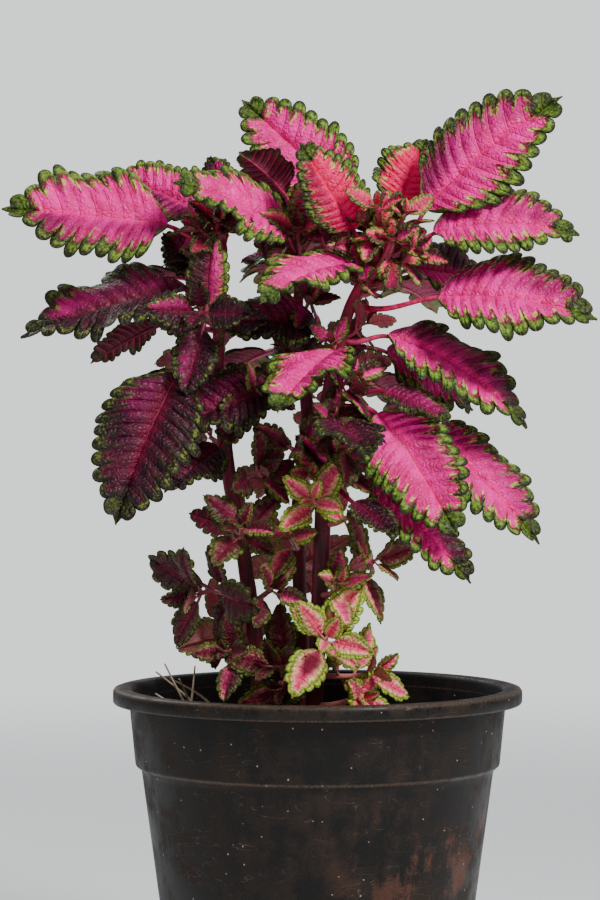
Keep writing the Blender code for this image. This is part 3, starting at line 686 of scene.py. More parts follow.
# %% The stems' routes
Stem = namedtuple("Stem", "route half_widths")
STEMS = {
    "right": Stem(
        ((-3, -12, 138), (-3, -12, 200), (0, -12, 260), (3, -11, 330), (5, -10, 395),
         (9, -10, 420), (15, -10, 447), (22, -10, 467), (33, -10, 487), (41, -10, 500)),
        ((138, 5.6), (395, 4.9), (450, 4.0), (500, 3.2)),
    ),
    "middle": Stem(
        ((-8, 26, 138), (-8, 26, 200), (-10, 25, 263), (-12, 23, 333), (-9, 21, 370),
         (-6, 20, 395), (-10, 18, 430), (-12, 16, 460), (-10, 14, 490)),
        ((138, 4.6), (395, 4.2), (490, 3.0)),
    ),
    "left": Stem(
        ((-34, 4, 138), (-34, 4, 200), (-38, 3, 259), (-43, 2, 295), (-48, 1, 330),
         (-53, 0, 352), (-58, 0, 391), (-61, -1, 420), (-59, -2, 466), (-58, -2, 503)),
        ((138, 5.2), (391, 4.4), (503, 3.1)),
    ),
}


def half_width(stem, height):
    places, widths = zip(*stem.half_widths)
    return np.interp(height, places, widths)


def centre_line(stem, height):
    """The point of a stem's centre line at a height, on a smooth curve through its route."""
    route = np.array(stem.route, float)
    last = len(route) - 1
    k = next((i for i in range(last) if height <= route[i + 1][2]), last - 1)
    before, start, end, after = route[max(k - 1, 0)], route[k], route[k + 1], route[min(k + 2, last)]
    rise = end[2] - start[2]
    leaving = (end - before) / (end[2] - before[2]) * rise
    arriving = (after - start) / (after[2] - start[2]) * rise
    t = (height - start[2]) / rise
    point = start * (2 * t**3 - 3 * t**2 + 1) + leaving * (t**3 - 2 * t**2 + t)
    point = point + end * (3 * t**2 - 2 * t**3) + arriving * (t**3 - t**2)
    return np.array([point[0], point[1], height])


SEAT_DEPTH = 0.8  # a stalk starts this share of the half width from the centre, just inside the skin


def seat(stem, height, towards):
    """Where a stalk that heads for a point leaves the stem, and in which direction."""
    centre = centre_line(stem, height)
    course = unit(centre_line(stem, height + 2) - centre)
    out = unit(np.array([towards[0] - centre[0], towards[1] - centre[1], 0.0]))
    leaving = unit(out - course * np.dot(out, course))
    return centre + out * half_width(stem, height) * SEAT_DEPTH, leaving


print("stem tips", {name: stem.route[-1] for name, stem in STEMS.items()})

# %% [markdown]
# ## Small leaves
# A coleus keeps sprouting: in every leaf's axil sits a sprig of small leaves in opposite pairs, each pair
# a quarter turn from the one before. The same sprig, larger and on a longer twig, makes the side shoots
# and crowns, so it is written once.

# %% Twigs with pairs of small leaves
SMALL_WIDTH, SMALL_NECK = 0.68, 0.2  # shares of the length: the blade's width, and its bare stalk
SMALL_ARCH, ARCH_SWING, SMALL_WAVES = 25, 14, 3  # degrees of arch, their swing, and the edge's waves
SMALL_LENGTH = 34  # the leaf length in millimetres for which the radii below are given
SMALL_RADII = np.concatenate([np.linspace(1.1, 1.0, 4), np.linspace(0.95, 0.2, 7)])
TURN_SWING, LEAN_SWING, LOOK_SWING = 12, 6, 0.2  # chance in a leaf's turn and lean, and in its look


def small_leaf(kind, root, along, normal, length, habit, seed):
    along = unit(along)
    neck = root + along * length * SMALL_NECK
    arch = SMALL_ARCH + ARCH_SWING * math.sin(seed)
    blade = Blade(kind, neck, along, normal, length, length * SMALL_WIDTH, arch, SMALL_WAVES, seed)
    piece = blade_piece(blade, habit)
    rib = rib_path(blade, np.linspace(0.02, 0.9, 7))
    path = np.vstack([root + (rib[0] - root) * np.linspace(0, 1, 5)[:-1, None], rib])
    return [piece, stalk_piece(kind, path, blade.side, SMALL_RADII * length / SMALL_LENGTH, habit)]


def sprig(kind, handles, first_side, axis, radii, rows, turn, habit, seed):
    """A twig along a curve. rows holds (place along it, leaf length, spread from the axis) of each pair."""
    pieces = [stalk_piece(SMALL, curve(handles, np.linspace(0, 1, len(radii))), first_side, radii, habit)]
    across = np.array(Vector(axis).orthogonal().normalized())
    chance = np.random.default_rng(seed)
    for pair, (place, length, spread) in enumerate(rows):
        root = curve(handles, [place])[0]
        for half in (0, 180):
            angle = math.radians(turn + 90 * pair + half + chance.uniform(-TURN_SWING, TURN_SWING))
            away = across * math.cos(angle) + np.cross(axis, across) * math.sin(angle)
            lean = math.radians(spread + chance.uniform(-LEAN_SWING, LEAN_SWING))
            along = axis * math.cos(lean) + away * math.sin(lean)
            normal = axis * math.sin(lean) - away * math.cos(lean)
            look = np.clip(np.array(habit) + chance.uniform(-LOOK_SWING, LOOK_SWING, 3), 0, 1)
            size = length * chance.uniform(0.92, 1.04)
            pieces += small_leaf(kind, root, along, normal, size, look, seed + pair * 2 + half)
    return pieces


# %% [markdown]
# ## The large leaves
# Each row of the table is one leaf of the photograph or one that the far side must have: its stem, the
# height where its stalk leaves it, the blade's base and tip, its width, how far its face is turned to the
# front, how far it arches and how many waves its edge has. The last two numbers are its look: how dark it
# is, partly its own burgundy and partly painted shade, and its chance, which is high for coral leaves.

# %% The table of large leaves
Leaf = namedtuple("Leaf", "name stem foot base tip width face arch waves dark chance")
LEAVES = (
    Leaf("leaf_right_crown_back", "right", 497, (20, 16, 528), (-47, 34, 592), 58, 75, 20, 6, 0.1, 0.5),
    Leaf("leaf_right_crown_front", "right", 494, (22, -20, 508), (-11, -36, 559), 44, 60, 25, 6, 0.1, 0.9),
    Leaf("leaf_right_crown_right", "right", 497, (66, -8, 522), (148, -16, 589), 66, 60, 10, 7, 0.12, 0.4),
    Leaf("leaf_right_crown_up", "right", 484, (50, 10, 522), (68, 28, 567), 46, 80, 15, 6, 0.15, 0.92),
    Leaf("leaf_right_side_high", "right", 488, (70, -18, 507), (157, -32, 504), 58, 45, 30, 6, 0.15, 0.62),
    Leaf("leaf_right_side_big", "right", 463, (73, -28, 468), (166, -50, 453), 66, 50, 25, 7, 0.0, 0.4),
    Leaf("leaf_right_side_back", "right", 478, (59, 8, 486), (112, 36, 474), 54, 50, 20, 6, 0.5, 0.5),
    Leaf("leaf_right_low", "right", 441, (43, -10, 445), (126, -26, 388), 54, 35, 30, 7, 0.15, 0.4),
    Leaf("leaf_right_small", "right", 406, (40, -26, 411), (79, -48, 391), 28, 30, 15, 5, 0.7, 0.5),
    Leaf("leaf_right_long", "right", 397, (61, -12, 389), (134, -20, 318), 54, 40, 20, 6, 0.1, 0.3),
    Leaf("leaf_right_front_low", "right", 402, (36, -30, 397), (83, -50, 324), 58, 60, 15, 7, 0.05, 0.4),
    Leaf("leaf_right_hanging", "right", 366, (30, -18, 358), (92, -32, 295), 48, 30, 15, 6, 0.3, 0.7),
    Leaf("leaf_right_front_dark", "right", 386, (10, -38, 392), (30, -96, 372), 42, 0, 20, 6, 0.8, 0.5),
    Leaf("leaf_centre_front", "right", 430, (11, -34, 434), (-24, -86, 398), 58, 0, 30, 6, 0.0, 0.4),
    Leaf("leaf_centre_high", "right", 478, (22, -28, 486), (-34, -76, 462), 58, 20, 30, 6, 0.0, 0.4),
    Leaf("leaf_centre_cup", "right", 484, (4, -12, 501), (-12, -18, 538), 36, -50, 20, 5, 0.3, 0.9),
    Leaf("leaf_right_back_high", "right", 470, (42, 22, 478), (78, 104, 462), 56, 0, 25, 6, 0.1, 0.5),
    Leaf("leaf_right_back_low", "right", 420, (30, 22, 418), (66, 98, 386), 56, 0, 25, 6, 0.3, 0.5),
    Leaf("leaf_right_lowest", "right", 354, (22, -40, 344), (46, -68, 325), 24, 30, 15, 5, 0.8, 0.5),
    Leaf("leaf_middle_front_left", "middle", 488, (-18, -6, 506), (-86, -50, 534), 54, 50, 25, 6, 0.0, 0.3),
    Leaf("leaf_middle_crown_dark", "middle", 484, (-20, 8, 532), (-48, -6, 556), 38, -40, 15, 5, 0.7, 0.5),
    Leaf("leaf_middle_crown_back", "middle", 488, (-6, 34, 520), (-30, 56, 552), 48, 80, 15, 5, 0.3, 0.6),
    Leaf("leaf_middle_centre", "middle", 452, (-2, 0, 454), (-56, -24, 446), 48, 50, 25, 6, 0.8, 0.5),
    Leaf("leaf_middle_right", "middle", 432, (43, 24, 436), (98, 50, 399), 52, 45, 20, 6, 0.6, 0.5),
    Leaf("leaf_middle_left", "middle", 415, (-28, -16, 414), (-90, -34, 388), 54, 45, 15, 6, 0.95, 0.5),
    Leaf("leaf_middle_back_high", "middle", 480, (-14, 40, 486), (-22, 128, 474), 58, 0, 30, 6, 0.1, 0.5),
    Leaf("leaf_middle_back_left", "middle", 440, (-32, 40, 436), (-76, 106, 402), 56, 0, 25, 6, 0.3, 0.5),
    Leaf("leaf_middle_back_low", "middle", 402, (4, 44, 402), (34, 108, 356), 54, 0, 25, 6, 0.5, 0.5),
    Leaf("leaf_left_crown_big", "left", 499, (-91, -14, 512), (-190, -28, 520), 68, 58, 20, 7, 0.1, 0.4),
    Leaf("leaf_left_crown_behind", "left", 500, (-72, 10, 521), (-129, 24, 544), 44, 60, 15, 6, 0.4, 0.4),
    Leaf("leaf_left_crown_small", "left", 500, (-57, 12, 531), (-66, 20, 556), 24, 60, 10, 4, 0.6, 0.6),
    Leaf("leaf_left_inner", "left", 480, (-70, 2, 484), (-95, 8, 508), 30, 60, 10, 4, 0.8, 0.5),
    Leaf("leaf_left_side", "left", 468, (-80, -6, 474), (-180, -16, 443), 60, 35, 20, 7, 0.85, 0.4),
    Leaf("leaf_left_side_small", "left", 448, (-97, 12, 452), (-140, 18, 428), 30, -30, 10, 5, 0.95, 0.5),
    Leaf("leaf_left_hanging", "left", 432, (-85, -34, 420), (-120, -54, 331), 66, 60, 15, 7, 0.88, 0.5),
    Leaf("leaf_left_low", "left", 383, (-60, -12, 376), (-92, -36, 350), 42, 30, 15, 5, 0.95, 0.5),
    Leaf("leaf_left_back_high", "left", 474, (-82, 28, 482), (-132, 84, 474), 56, 0, 25, 6, 0.2, 0.5),
    Leaf("leaf_left_back_low", "left", 425, (-84, 26, 424), (-128, 72, 384), 54, 0, 25, 6, 0.5, 0.5),
)
print("rows of large leaves", len(LEAVES))

# %% Grow the large leaves
LEAF_SEED = 100
STALK_RADII = np.concatenate([np.linspace(2.0, 1.3, 17), np.linspace(1.25, 0.25, 16)])  # stalk, then rib
AXIL_RADII = np.linspace(1.4, 0.9, 12)
AXIL_RISE, AXIL_TWIG, AXIL_PULL = 3, 13, 4  # height over the stalk, the twig's length, its handles' length
AXIL_ROWS = ((0.55, 23, 72), (0.95, 18, 50), (1.0, 10, 24))  # (place, leaf length, spread) of each pair


def axil_sprig(leaf, start, leaving, seed):
    """The sprig between a leaf's stalk and the stem: a short twig that rises from just above the stalk."""
    chance = np.random.default_rng(seed)
    size = chance.uniform(0.8, 1.25)
    axis = unit(leaving * 0.8 + UP * chance.uniform(0.5, 1.0) + chance.uniform(-0.3, 0.3, 3))
    root = start + UP * AXIL_RISE
    end = root + axis * AXIL_TWIG * size
    handles = (root, root + leaving * AXIL_PULL, end - axis * AXIL_PULL, end)
    rows = [(place, length * size, spread) for place, length, spread in AXIL_ROWS]
    # The sprig's darkness follows its leaf's, which is partly painted shade.
    habit = (0.35 + 0.5 * leaf.dark + chance.uniform(-0.1, 0.1), chance.uniform(0, 0.3), leaf.chance)
    first_side = unit(np.cross(UP, leaving))
    return sprig(TINY, handles, first_side, axis, AXIL_RADII, rows, chance.uniform(0, 90), habit, seed)


def grow_leaf(leaf, seed):
    base, tip = np.array(leaf.base, float), np.array(leaf.tip, float)
    face, arch = math.radians(leaf.face), math.radians(leaf.arch)
    length = np.linalg.norm(tip - base) * (arch / 2) / math.sin(arch / 2)
    normal = UP * math.cos(face) + FRONT * math.sin(face)
    blade = Blade(LARGE, base, tip - base, normal, length, leaf.width, leaf.arch, leaf.waves, seed)
    habit = (leaf.dark, 0.0, leaf.chance)
    piece = blade_piece(blade, habit)
    start, leaving = seat(STEMS[leaf.stem], leaf.foot, base)
    rib = rib_path(blade, np.linspace(0.02, 0.94, 16))
    handles = handles_between(start, leaving, rib[0], blade.start())
    path = np.vstack([curve(handles, np.linspace(0, 1, 18))[:-1], rib])
    stalk = stalk_piece(LARGE, path, blade.side, STALK_RADII, habit)
    hand_over([piece, stalk] + axil_sprig(leaf, start, leaving, seed), leaf.name)


for number, leaf in enumerate(LEAVES):
    grow_leaf(leaf, LEAF_SEED + number)
print("large leaves", len(LEAVES))

# %% [markdown]
# ## Shoots and crowns
# Low on the stems, and at their tips, grow twigs with opposite pairs of small leaves. On a shoot the
# pairs grow smaller towards its tip, and one more pair sits near its foot. The first table has the
# shoots, the second the crowns at the stems' tips, and the third smaller sprouts that fill the space
# beside them. A row gives the stem, the height where the twig leaves it, the twig's end and direction,
# the longest leaf, the first pair's turn, and how dark and how pale the leaves are; the darkness is
# partly the leaves' own colour and partly painted shade.

# %% The tables of shoots, crowns and sprouts
Shoot = namedtuple("Shoot", "name stem foot end axis length turn dark pale")
SHOOTS = (
    Shoot("shoot_right_low_front", "right", 262, (5, -48, 262), (0.1, -0.9, 0.35), 36, 10, 0.0, 1.0),
    Shoot("shoot_right_low_side", "right", 238, (32, -24, 240), (0.8, -0.4, 0.2), 34, 0, 0.1, 0.9),
    Shoot("shoot_centre_low", "middle", 240, (-26, -22, 244), (-0.5, -0.8, 0.3), 36, 40, 0.95, 0.5),
    Shoot("shoot_right_mid", "right", 300, (34, -26, 308), (0.75, -0.5, 0.1), 33, 60, 0.6, 0.7),
    Shoot("shoot_centre_mid", "right", 342, (-3, -40, 345), (-0.1, -0.9, 0.4), 27, 5, 0.05, 0.9),
    Shoot("shoot_middle_back", "middle", 300, (-14, 58, 305), (0, 0.8, 0.5), 36, 30, 0.4, 0.4),
    Shoot("shoot_left_low", "left", 290, (-72, -18, 288), (-0.7, -0.6, -0.2), 42, 20, 1.0, 0.3),
    Shoot("shoot_left_mid", "left", 322, (-46, -32, 329), (0.0, -0.8, 0.6), 32, 0, 0.9, 0.5),
    Shoot("shoot_left_high", "left", 450, (-70, -42, 458), (-0.1, -0.95, 0.2), 42, 45, 1.0, 0.0),
    Shoot("shoot_left_back", "left", 262, (-58, 36, 262), (-0.6, 0.7, 0.2), 36, 30, 0.5, 0.3),
)
CROWNS = (
    Shoot("crown_right", "right", 500, (45, -14, 512), (0.3, -0.3, 0.9), 24, 40, 0.4, 0.15),
    Shoot("crown_middle", "middle", 490, (-10, 16, 502), (0.1, 0.1, 0.9), 22, 60, 0.5, 0.2),
    Shoot("crown_left", "left", 503, (-59, -6, 515), (-0.2, -0.3, 0.9), 22, 50, 0.5, 0.2),
)
SPROUTS = (  # each is part of the shoot or crown that it is named after
    Shoot("shoot_left_mid", "left", 283, (-28, -16, 290), (0.5, -0.7, 0.2), 27, 20, 0.95, 0.5),
    Shoot("shoot_left_low", "left", 246, (-54, -24, 254), (-0.4, -0.8, 0.1), 26, 50, 0.95, 0.45),
    Shoot("shoot_centre_low", "middle", 222, (-22, -16, 230), (-0.3, -0.9, -0.1), 32, 70, 0.85, 0.5),
    Shoot("shoot_right_low_front", "right", 287, (13, -34, 294), (0.3, -0.8, 0.5), 25, 40, 0.4, 0.7),
    Shoot("shoot_right_low_side", "right", 220, (26, -36, 226), (0.5, -0.8, 0.0), 27, 10, 0.1, 0.9),
    Shoot("shoot_centre_mid", "middle", 314, (-17, -14, 322), (-0.3, -0.8, 0.3), 25, 30, 0.5, 0.7),
    Shoot("shoot_middle_back", "middle", 262, (4, 52, 268), (0.4, 0.8, 0.2), 28, 10, 0.5, 0.2),
    Shoot("shoot_left_back", "left", 320, (-50, 36, 326), (-0.2, 0.9, 0.3), 28, 60, 0.5, 0.2),
    Shoot("shoot_centre_mid", "middle", 372, (-16, -14, 376), (-0.5, -0.7, 0.3), 30, 15, 0.85, 0.4),
    Shoot("shoot_centre_mid", "middle", 354, (-4, -10, 360), (0.2, -0.9, 0.1), 22, 50, 0.2, 0.9),
    Shoot("shoot_left_mid", "left", 356, (-36, -16, 362), (0.6, -0.6, 0.2), 30, 0, 0.95, 0.4),
    Shoot("shoot_right_mid", "right", 374, (22, -34, 380), (0.5, -0.7, 0.3), 28, 30, 0.95, 0.4),
    Shoot("shoot_right_mid", "right", 330, (22, -26, 336), (0.7, -0.5, 0.2), 24, 70, 0.2, 0.8),
    Shoot("shoot_left_high", "left", 404, (-38, -18, 408), (0.6, -0.6, 0.3), 28, 10, 0.85, 0.4),
    Shoot("shoot_middle_back", "middle", 352, (-26, 42, 358), (-0.5, 0.7, 0.3), 30, 40, 0.6, 0.2),
    Shoot("shoot_middle_back", "middle", 376, (10, 40, 382), (0.6, 0.7, 0.2), 30, 70, 0.5, 0.2),
    Shoot("shoot_left_back", "left", 376, (-66, 26, 382), (-0.5, 0.8, 0.2), 30, 20, 0.6, 0.2),
    Shoot("crown_right", "right", 490, (36, -34, 520), (-0.2, -0.75, 0.6), 25, 20, 0.4, 0.2),
    Shoot("crown_right", "right", 488, (52, -32, 516), (0.4, -0.7, 0.6), 24, 70, 0.25, 0.35),
    Shoot("crown_right", "right", 482, (44, -36, 502), (0.1, -0.9, 0.3), 24, 45, 0.5, 0.15),
    Shoot("crown_right", "right", 476, (58, -30, 494), (0.6, -0.7, 0.3), 26, 10, 0.6, 0.2),
    Shoot("crown_middle", "middle", 480, (-12, -10, 508), (-0.1, -0.8, 0.6), 30, 40, 0.75, 0.2),
    Shoot("crown_left", "left", 494, (-60, -26, 512), (0.1, -0.8, 0.6), 26, 10, 0.85, 0.1),
)
print("shoots", len(SHOOTS), "crowns", len(CROWNS), "sprouts", len(SPROUTS))

# %% Grow the shoots
SHOOT_SEED, SPROUT_SEED, SEED_STEP = 300, 700, 20
TWIG_RADII = np.linspace(2.0, 1.5, 12)
CROWN_CHANCE, SHOOT_CHANCE = 0.95, 0.5
# Each pair of leaves: (place along the twig, share of the longest leaf, spread from the axis in degrees)
SHOOT_ROWS = ((0.64, 1.0, 78), (0.94, 0.8, 62), (1.0, 0.5, 36), (0.34, 0.72, 80))
CROWN_ROWS = ((0.3, 1.25, 74), (0.64, 1.05, 58), (0.94, 0.85, 42), (1.0, 0.55, 22))
SPROUT_ROWS = ((0.6, 1.0, 74), (0.95, 0.8, 56), (1.0, 0.45, 30))


def shoot_pieces(kind, shoot, rows, at_tip, seed):
    stem = STEMS[shoot.stem]
    end, axis = np.array(shoot.end, float), unit(np.array(shoot.axis, float))
    if at_tip:
        start, leaving, first_side = centre_line(stem, shoot.foot), UP, np.array([1.0, 0.0, 0.0])
    else:
        start, leaving = seat(stem, shoot.foot, end)
        first_side = np.cross(UP, leaving)
    handles = handles_between(start, leaving, end, axis)
    rows = [(place, shoot.length * share, spread) for place, share, spread in rows]
    habit = (shoot.dark, shoot.pale, CROWN_CHANCE if shoot.name.startswith("crown") else SHOOT_CHANCE)
    return sprig(kind, handles, first_side, axis, TWIG_RADII, rows, shoot.turn, habit, seed)


for number, shoot in enumerate(SHOOTS + CROWNS):
    at_tip = shoot in CROWNS
    rows = CROWN_ROWS if at_tip else SHOOT_ROWS
    pieces = shoot_pieces(SMALL, shoot, rows, at_tip, SHOOT_SEED + SEED_STEP * number)
    for extra, sprout in enumerate(SPROUTS):
        if sprout.name == shoot.name:
            pieces += shoot_pieces(TINY, sprout, SPROUT_ROWS, False, SPROUT_SEED + SEED_STEP * extra)
    hand_over(pieces, shoot.name)
print("shoots and crowns", len(SHOOTS) + len(CROWNS), "with sprouts", len(SPROUTS))

# %% [markdown]
# ## The stems
# Burgundy skin with crimson streaks, browner and rougher towards the soil and redder under the crowns.
# Each stem has rounded corners, a shallow groove down each face, and a slight swelling at each node,
# where leaves grow. Extruding a square along the route would twist it and miss the swellings, so the
# closed tube from above takes a rounded square section whose size changes with the height.

# %% The stems' skin
def stem_paint():
    p = Paint("stem_skin", roughness=0.45, Specular_IOR_Level=0.4)
    height = p.split(p.place(), "Z")
    streak = p.noise(4, 4, 0.6, (1, 1, 0.12))
    fleck = p.noise(1.6, 3)
    colour = p.mix(p.step(streak, 0.38, 0.62), srgb(58, 2, 16), srgb(112, 8, 42))
    colour = p.mix(p.step(height, 0.27, 0.2) * 0.7, colour, srgb(74, 30, 28))
    colour = p.mix(p.step(height, 0.38, 0.47) * 0.6, colour, srgb(164, 6, 66))
    colour = p.mix(p.step(fleck, 0.66, 0.74) * 0.5, colour, srgb(190, 90, 100))
    p.use("Base Color", colour)
    p.use("Roughness", 0.38 + streak * 0.25)
    p.bump(streak * 0.7 + fleck * 0.3, 0.4, 0.6)
    return p.material


STEM_SKIN = stem_paint()
print("stem finish", STEM_SKIN.name)

# %% Grow the stems
STEM_SIDES, STEM_RINGS = 28, 220
SQUARENESS, FACE_GROOVE = 3.4, 0.05  # 2 would be round; the groove is a share of the half width
NODE_SWELL, NODE_REACH = 0.05, 3.5  # how much a node swells, and how far from it, in millimetres
TIP_TAPER, TIP_REACH = 0.35, 7  # how much the tip tapers, and over how many millimetres
LINE_STEPS, STEM_SHARP = 400, 50


def stem_half(stem, name, z):
    """Half the stem's width at these heights, swollen at its nodes and tapered at its tip."""
    half = half_width(stem, z)
    for grown in LEAVES + SHOOTS:
        if grown.stem == name:
            half = half * (1 + NODE_SWELL * np.exp(-(((z - grown.foot) / NODE_REACH) ** 2)))
    high = stem.route[-1][2]
    return half * (1 - TIP_TAPER * ramp(z, high - TIP_REACH, high))


def rounded_square(turn):
    """How far out a square with round corners and grooved faces lies in each direction."""
    square = (np.abs(np.cos(turn)) ** SQUARENESS + np.abs(np.sin(turn)) ** SQUARENESS) ** (-1 / SQUARENESS)
    on_face = np.abs(np.cos(2 * turn)) > 0.7
    return square - FACE_GROOVE * np.cos(4 * turn) ** 2 * on_face


def stem_piece(name):
    stem = STEMS[name]
    obj, at = closed_tube(f"stem_{name}_tube", STEM_SIDES, STEM_RINGS)
    low, high = stem.route[0][2], stem.route[-1][2]
    heights = np.linspace(low, high, LINE_STEPS)
    line = np.array([centre_line(stem, h) for h in heights])
    turn, z = at[:, 0] * math.tau, low + at[:, 1] * (high - low)
    centre = np.column_stack([np.interp(z, heights, line[:, i]) for i in range(3)])
    radius = stem_half(stem, name, z) * rounded_square(turn)
    ring = np.column_stack([radius * np.cos(turn), radius * np.sin(turn), np.zeros(len(z))])
    move_points(obj, (centre + ring) * MM)
    obj.data.materials.append(STEM_SKIN)
    hand_over([obj], f"stem_{name}", STEM_SHARP)


for name in STEMS:
    stem_piece(name)
print("stems", len(STEMS))

# %% [markdown]
# ## The pot
# A blow-moulded nursery pot: a rolled lip, a band under it, a step, and a tapering body with a flat
# floor. It could be built up from cylinders, but it was turned in one mould, so half its section is drawn
# and spun, and the drain holes are cut. Its black plastic is filmed with dry dust, scratched, and smeared
# with soil, and its lip and step carry a painted highlight, partly real wear.

# %% The pot's plastic
# Heights and radii in millimetres, as in the CAD model
POT_HEIGHT, RIM_RADIUS, RIM_DEPTH, WALL = 230.0, 125.0, 9.0, 1.8
BAND_TOP, BAND_FOOT, BAND_FOOT_HEIGHT = 115.0, 111.2, 183.0
BODY_TOP, STEP_DROP, BASE_RADIUS, FLOOR = 107.5, 3.0, 83.0, 2.5
STEP_HEIGHT = BAND_FOOT_HEIGHT - STEP_DROP


def pot_paint():
    p = Paint("pot_plastic", roughness=0.5, Specular_IOR_Level=0.22)
    where = p.place()
    x, y, height = (p.split(where, axis) * 1000 for axis in "XYZ")
    radius = p.length(p.scaled(where, (1, 1, 0))) * 1000
    film, grain, patch = p.noise(26, 6, 0.68), p.noise(1.3, 4, 0.65), p.noise(42, 4, 0.62)
    run = p.noise(9, 5, 0.65, (1, 1, 0.25))
    black = p.mix(p.step(grain, 0.35, 0.7), srgb(6, 4, 3), srgb(14, 11, 9))
    dust = p.step(film + (run - 0.5) * 0.5 + (grain - 0.5) * 0.35, 0.38, 0.74) * 0.45
    colour = p.mix(dust, black, srgb(62, 48, 39))
    low_right = p.step(x, -10, 60) * p.step(height, 178, 140) * p.step(y, 10, -40)
    smear = p.step(patch + (run - 0.5) * 0.45 + (grain - 0.5) * 0.25, 0.5, 0.64) * low_right
    colour = p.mix(smear * 0.5, colour, srgb(104, 64, 48))
    # Painted highlight, partly real wear: the lip's top, the step and the lip's lower edge are lightened
    # where light would catch them, broken up by the grain.
    lip = p.step(radius, 119.0, 124.0) * p.step(height, 227.0, 229.6)
    ledge_highlight = p.step(abs(height - 182.6), 1.4, 0.3) + p.step(abs(height - 221.5), 0.9, 0.2) * 0.6
    worn_and_highlit_edges = (lip * 0.8 + ledge_highlight) * p.step(grain, 0.3, 0.6)
    colour = p.mix(worn_and_highlit_edges * 0.5, colour, srgb(110, 90, 74))
    mark = p.noise(14, 2, 0.5, (0.5, 0.5, 2.2))
    scratch = p.step(abs(mark - 0.56), 0.006, 0.0) * p.step(film, 0.48, 0.6)
    colour = p.mix(scratch * 0.35, colour, srgb(130, 116, 104))
    speck = p.step(p.cells(9, "F1") + (grain - 0.5) * 0.1, 0.075, 0.045)
    colour = p.mix(speck * 0.7, colour, srgb(170, 154, 136))
    p.use("Base Color", colour)
    p.use("Roughness", 0.4 + dust * 0.8)
    p.bump(film * 0.6 + grain * 0.35 + speck * 0.5 - scratch * 0.3, 0.4, 0.7)
    return p.material


PLASTIC = pot_paint()
print("pot finish", PLASTIC.name)

# %% Turn the pot
POT_STEPS, POT_SHARP = 160, 40
DRAINS, DRAIN_RADIUS, DRAIN_CIRCLE = 8, 6, 60
CUTTER_DEPTH, CUTTER_SIDES = 8, 24


def spun(name, profile, steps):
    """A body turned about Z from a section in millimetres that begins and ends on the axis."""
    mesh = bpy.data.meshes.new(name)
    points = [(radius * MM, 0, height * MM) for radius, height in profile]
    mesh.from_pydata(points, [(i, i + 1) for i in range(len(points) - 1)], [])
    obj = linked(name, mesh)
    pick(obj)
    bpy.ops.object.mode_set(mode="EDIT")
    bpy.ops.mesh.select_all(action="SELECT")
    bpy.ops.mesh.spin(steps=steps, angle=math.tau, center=(0, 0, 0), axis=(0, 0, 1))
    bpy.ops.object.mode_set(mode="OBJECT")
    seal(obj, fill_ends=False)
    return obj


def pot_section():
    """Half the pot's section: up the inside, over the lip, and down the outside."""
    skirt, step, top = POT_HEIGHT - RIM_DEPTH, STEP_HEIGHT, POT_HEIGHT
    inner, wall_out = BAND_TOP - WALL, RIM_RADIUS - WALL
    slant = (BODY_TOP - BASE_RADIUS) / step
    inside = (
        (0, FLOOR), (DRAIN_CIRCLE, FLOOR),
        (BASE_RADIUS - WALL - 2, FLOOR), (BASE_RADIUS - WALL + 0.3, FLOOR + 2),
        (BODY_TOP - WALL - slant * 80, step - 80), (BODY_TOP - WALL, step),
        (BAND_FOOT - WALL, BAND_FOOT_HEIGHT),
        (inner - 0.2, top - 3), (inner + 0.5, top - 0.9), (inner + 1.6, top - 0.2), (inner + 3, top),
    )
    lip = (
        (RIM_RADIUS - 2.4, top), (RIM_RADIUS - 0.9, top - 0.5), (RIM_RADIUS - 0.1, top - 1.8),
        (RIM_RADIUS, top - 4), (RIM_RADIUS - 0.1, skirt + 0.8), (RIM_RADIUS - 0.7, skirt),
        (RIM_RADIUS - 1.3, skirt + 0.2), (wall_out, skirt + 1), (wall_out - 0.2, top - 3.2),
        (wall_out - 1, top - 2.6), (BAND_TOP + 1.4, top - 2.6), (BAND_TOP + 0.3, top - 3.6),
        (BAND_TOP, skirt),
    )
    band = (
        (BAND_FOOT + 0.15, BAND_FOOT_HEIGHT + 1.5), (BAND_FOOT - 0.1, BAND_FOOT_HEIGHT + 0.3),
        (BAND_FOOT - 0.8, BAND_FOOT_HEIGHT - 0.4), (BODY_TOP + 0.7, step + 0.9), (BODY_TOP + 0.1, step),
    )
    body = tuple((BODY_TOP - slant * down, step - down) for down in (3, 70, 140))
    foot = (
        (BASE_RADIUS + 0.2, 3), (BASE_RADIUS - 0.3, 1.1), (BASE_RADIUS - 1.4, 0.2),
        (BASE_RADIUS - 2.4, 0), (0, 0),
    )
    return inside + lip + band + body + foot


def pot_piece():
    pot = spun("pot_fine", pot_section(), POT_STEPS)
    cutters = []
    for k in range(DRAINS):
        angle = math.tau * (k + 0.5) / DRAINS
        place = (DRAIN_CIRCLE * math.cos(angle) * MM, DRAIN_CIRCLE * math.sin(angle) * MM, FLOOR / 2 * MM)
        size = {"vertices": CUTTER_SIDES, "radius": DRAIN_RADIUS * MM, "depth": CUTTER_DEPTH * MM}
        cutters.append(added(bpy.ops.mesh.primitive_cylinder_add, "drain", location=place, **size))
    cutter = joined(cutters, "drain_cutter")
    cut = pot.modifiers.new("Drains", "BOOLEAN")
    cut.operation, cut.object = "DIFFERENCE", cutter
    apply_all(pot)
    bpy.data.objects.remove(cutter)
    pot.data.materials.append(PLASTIC)
    hand_over([pot], "pot", POT_SHARP)


pot_piece()

# %% [markdown]
# ## The soil
# Moist potting mix: a crumbly brown top, a little higher round the stems, with a few bits of dry stem
# against the pot's wall. Real crumbs in their thousands would cost far too many faces, so the top of a
# spun plug is roughened by noise, and a few hundred loose crumbs lie on it.

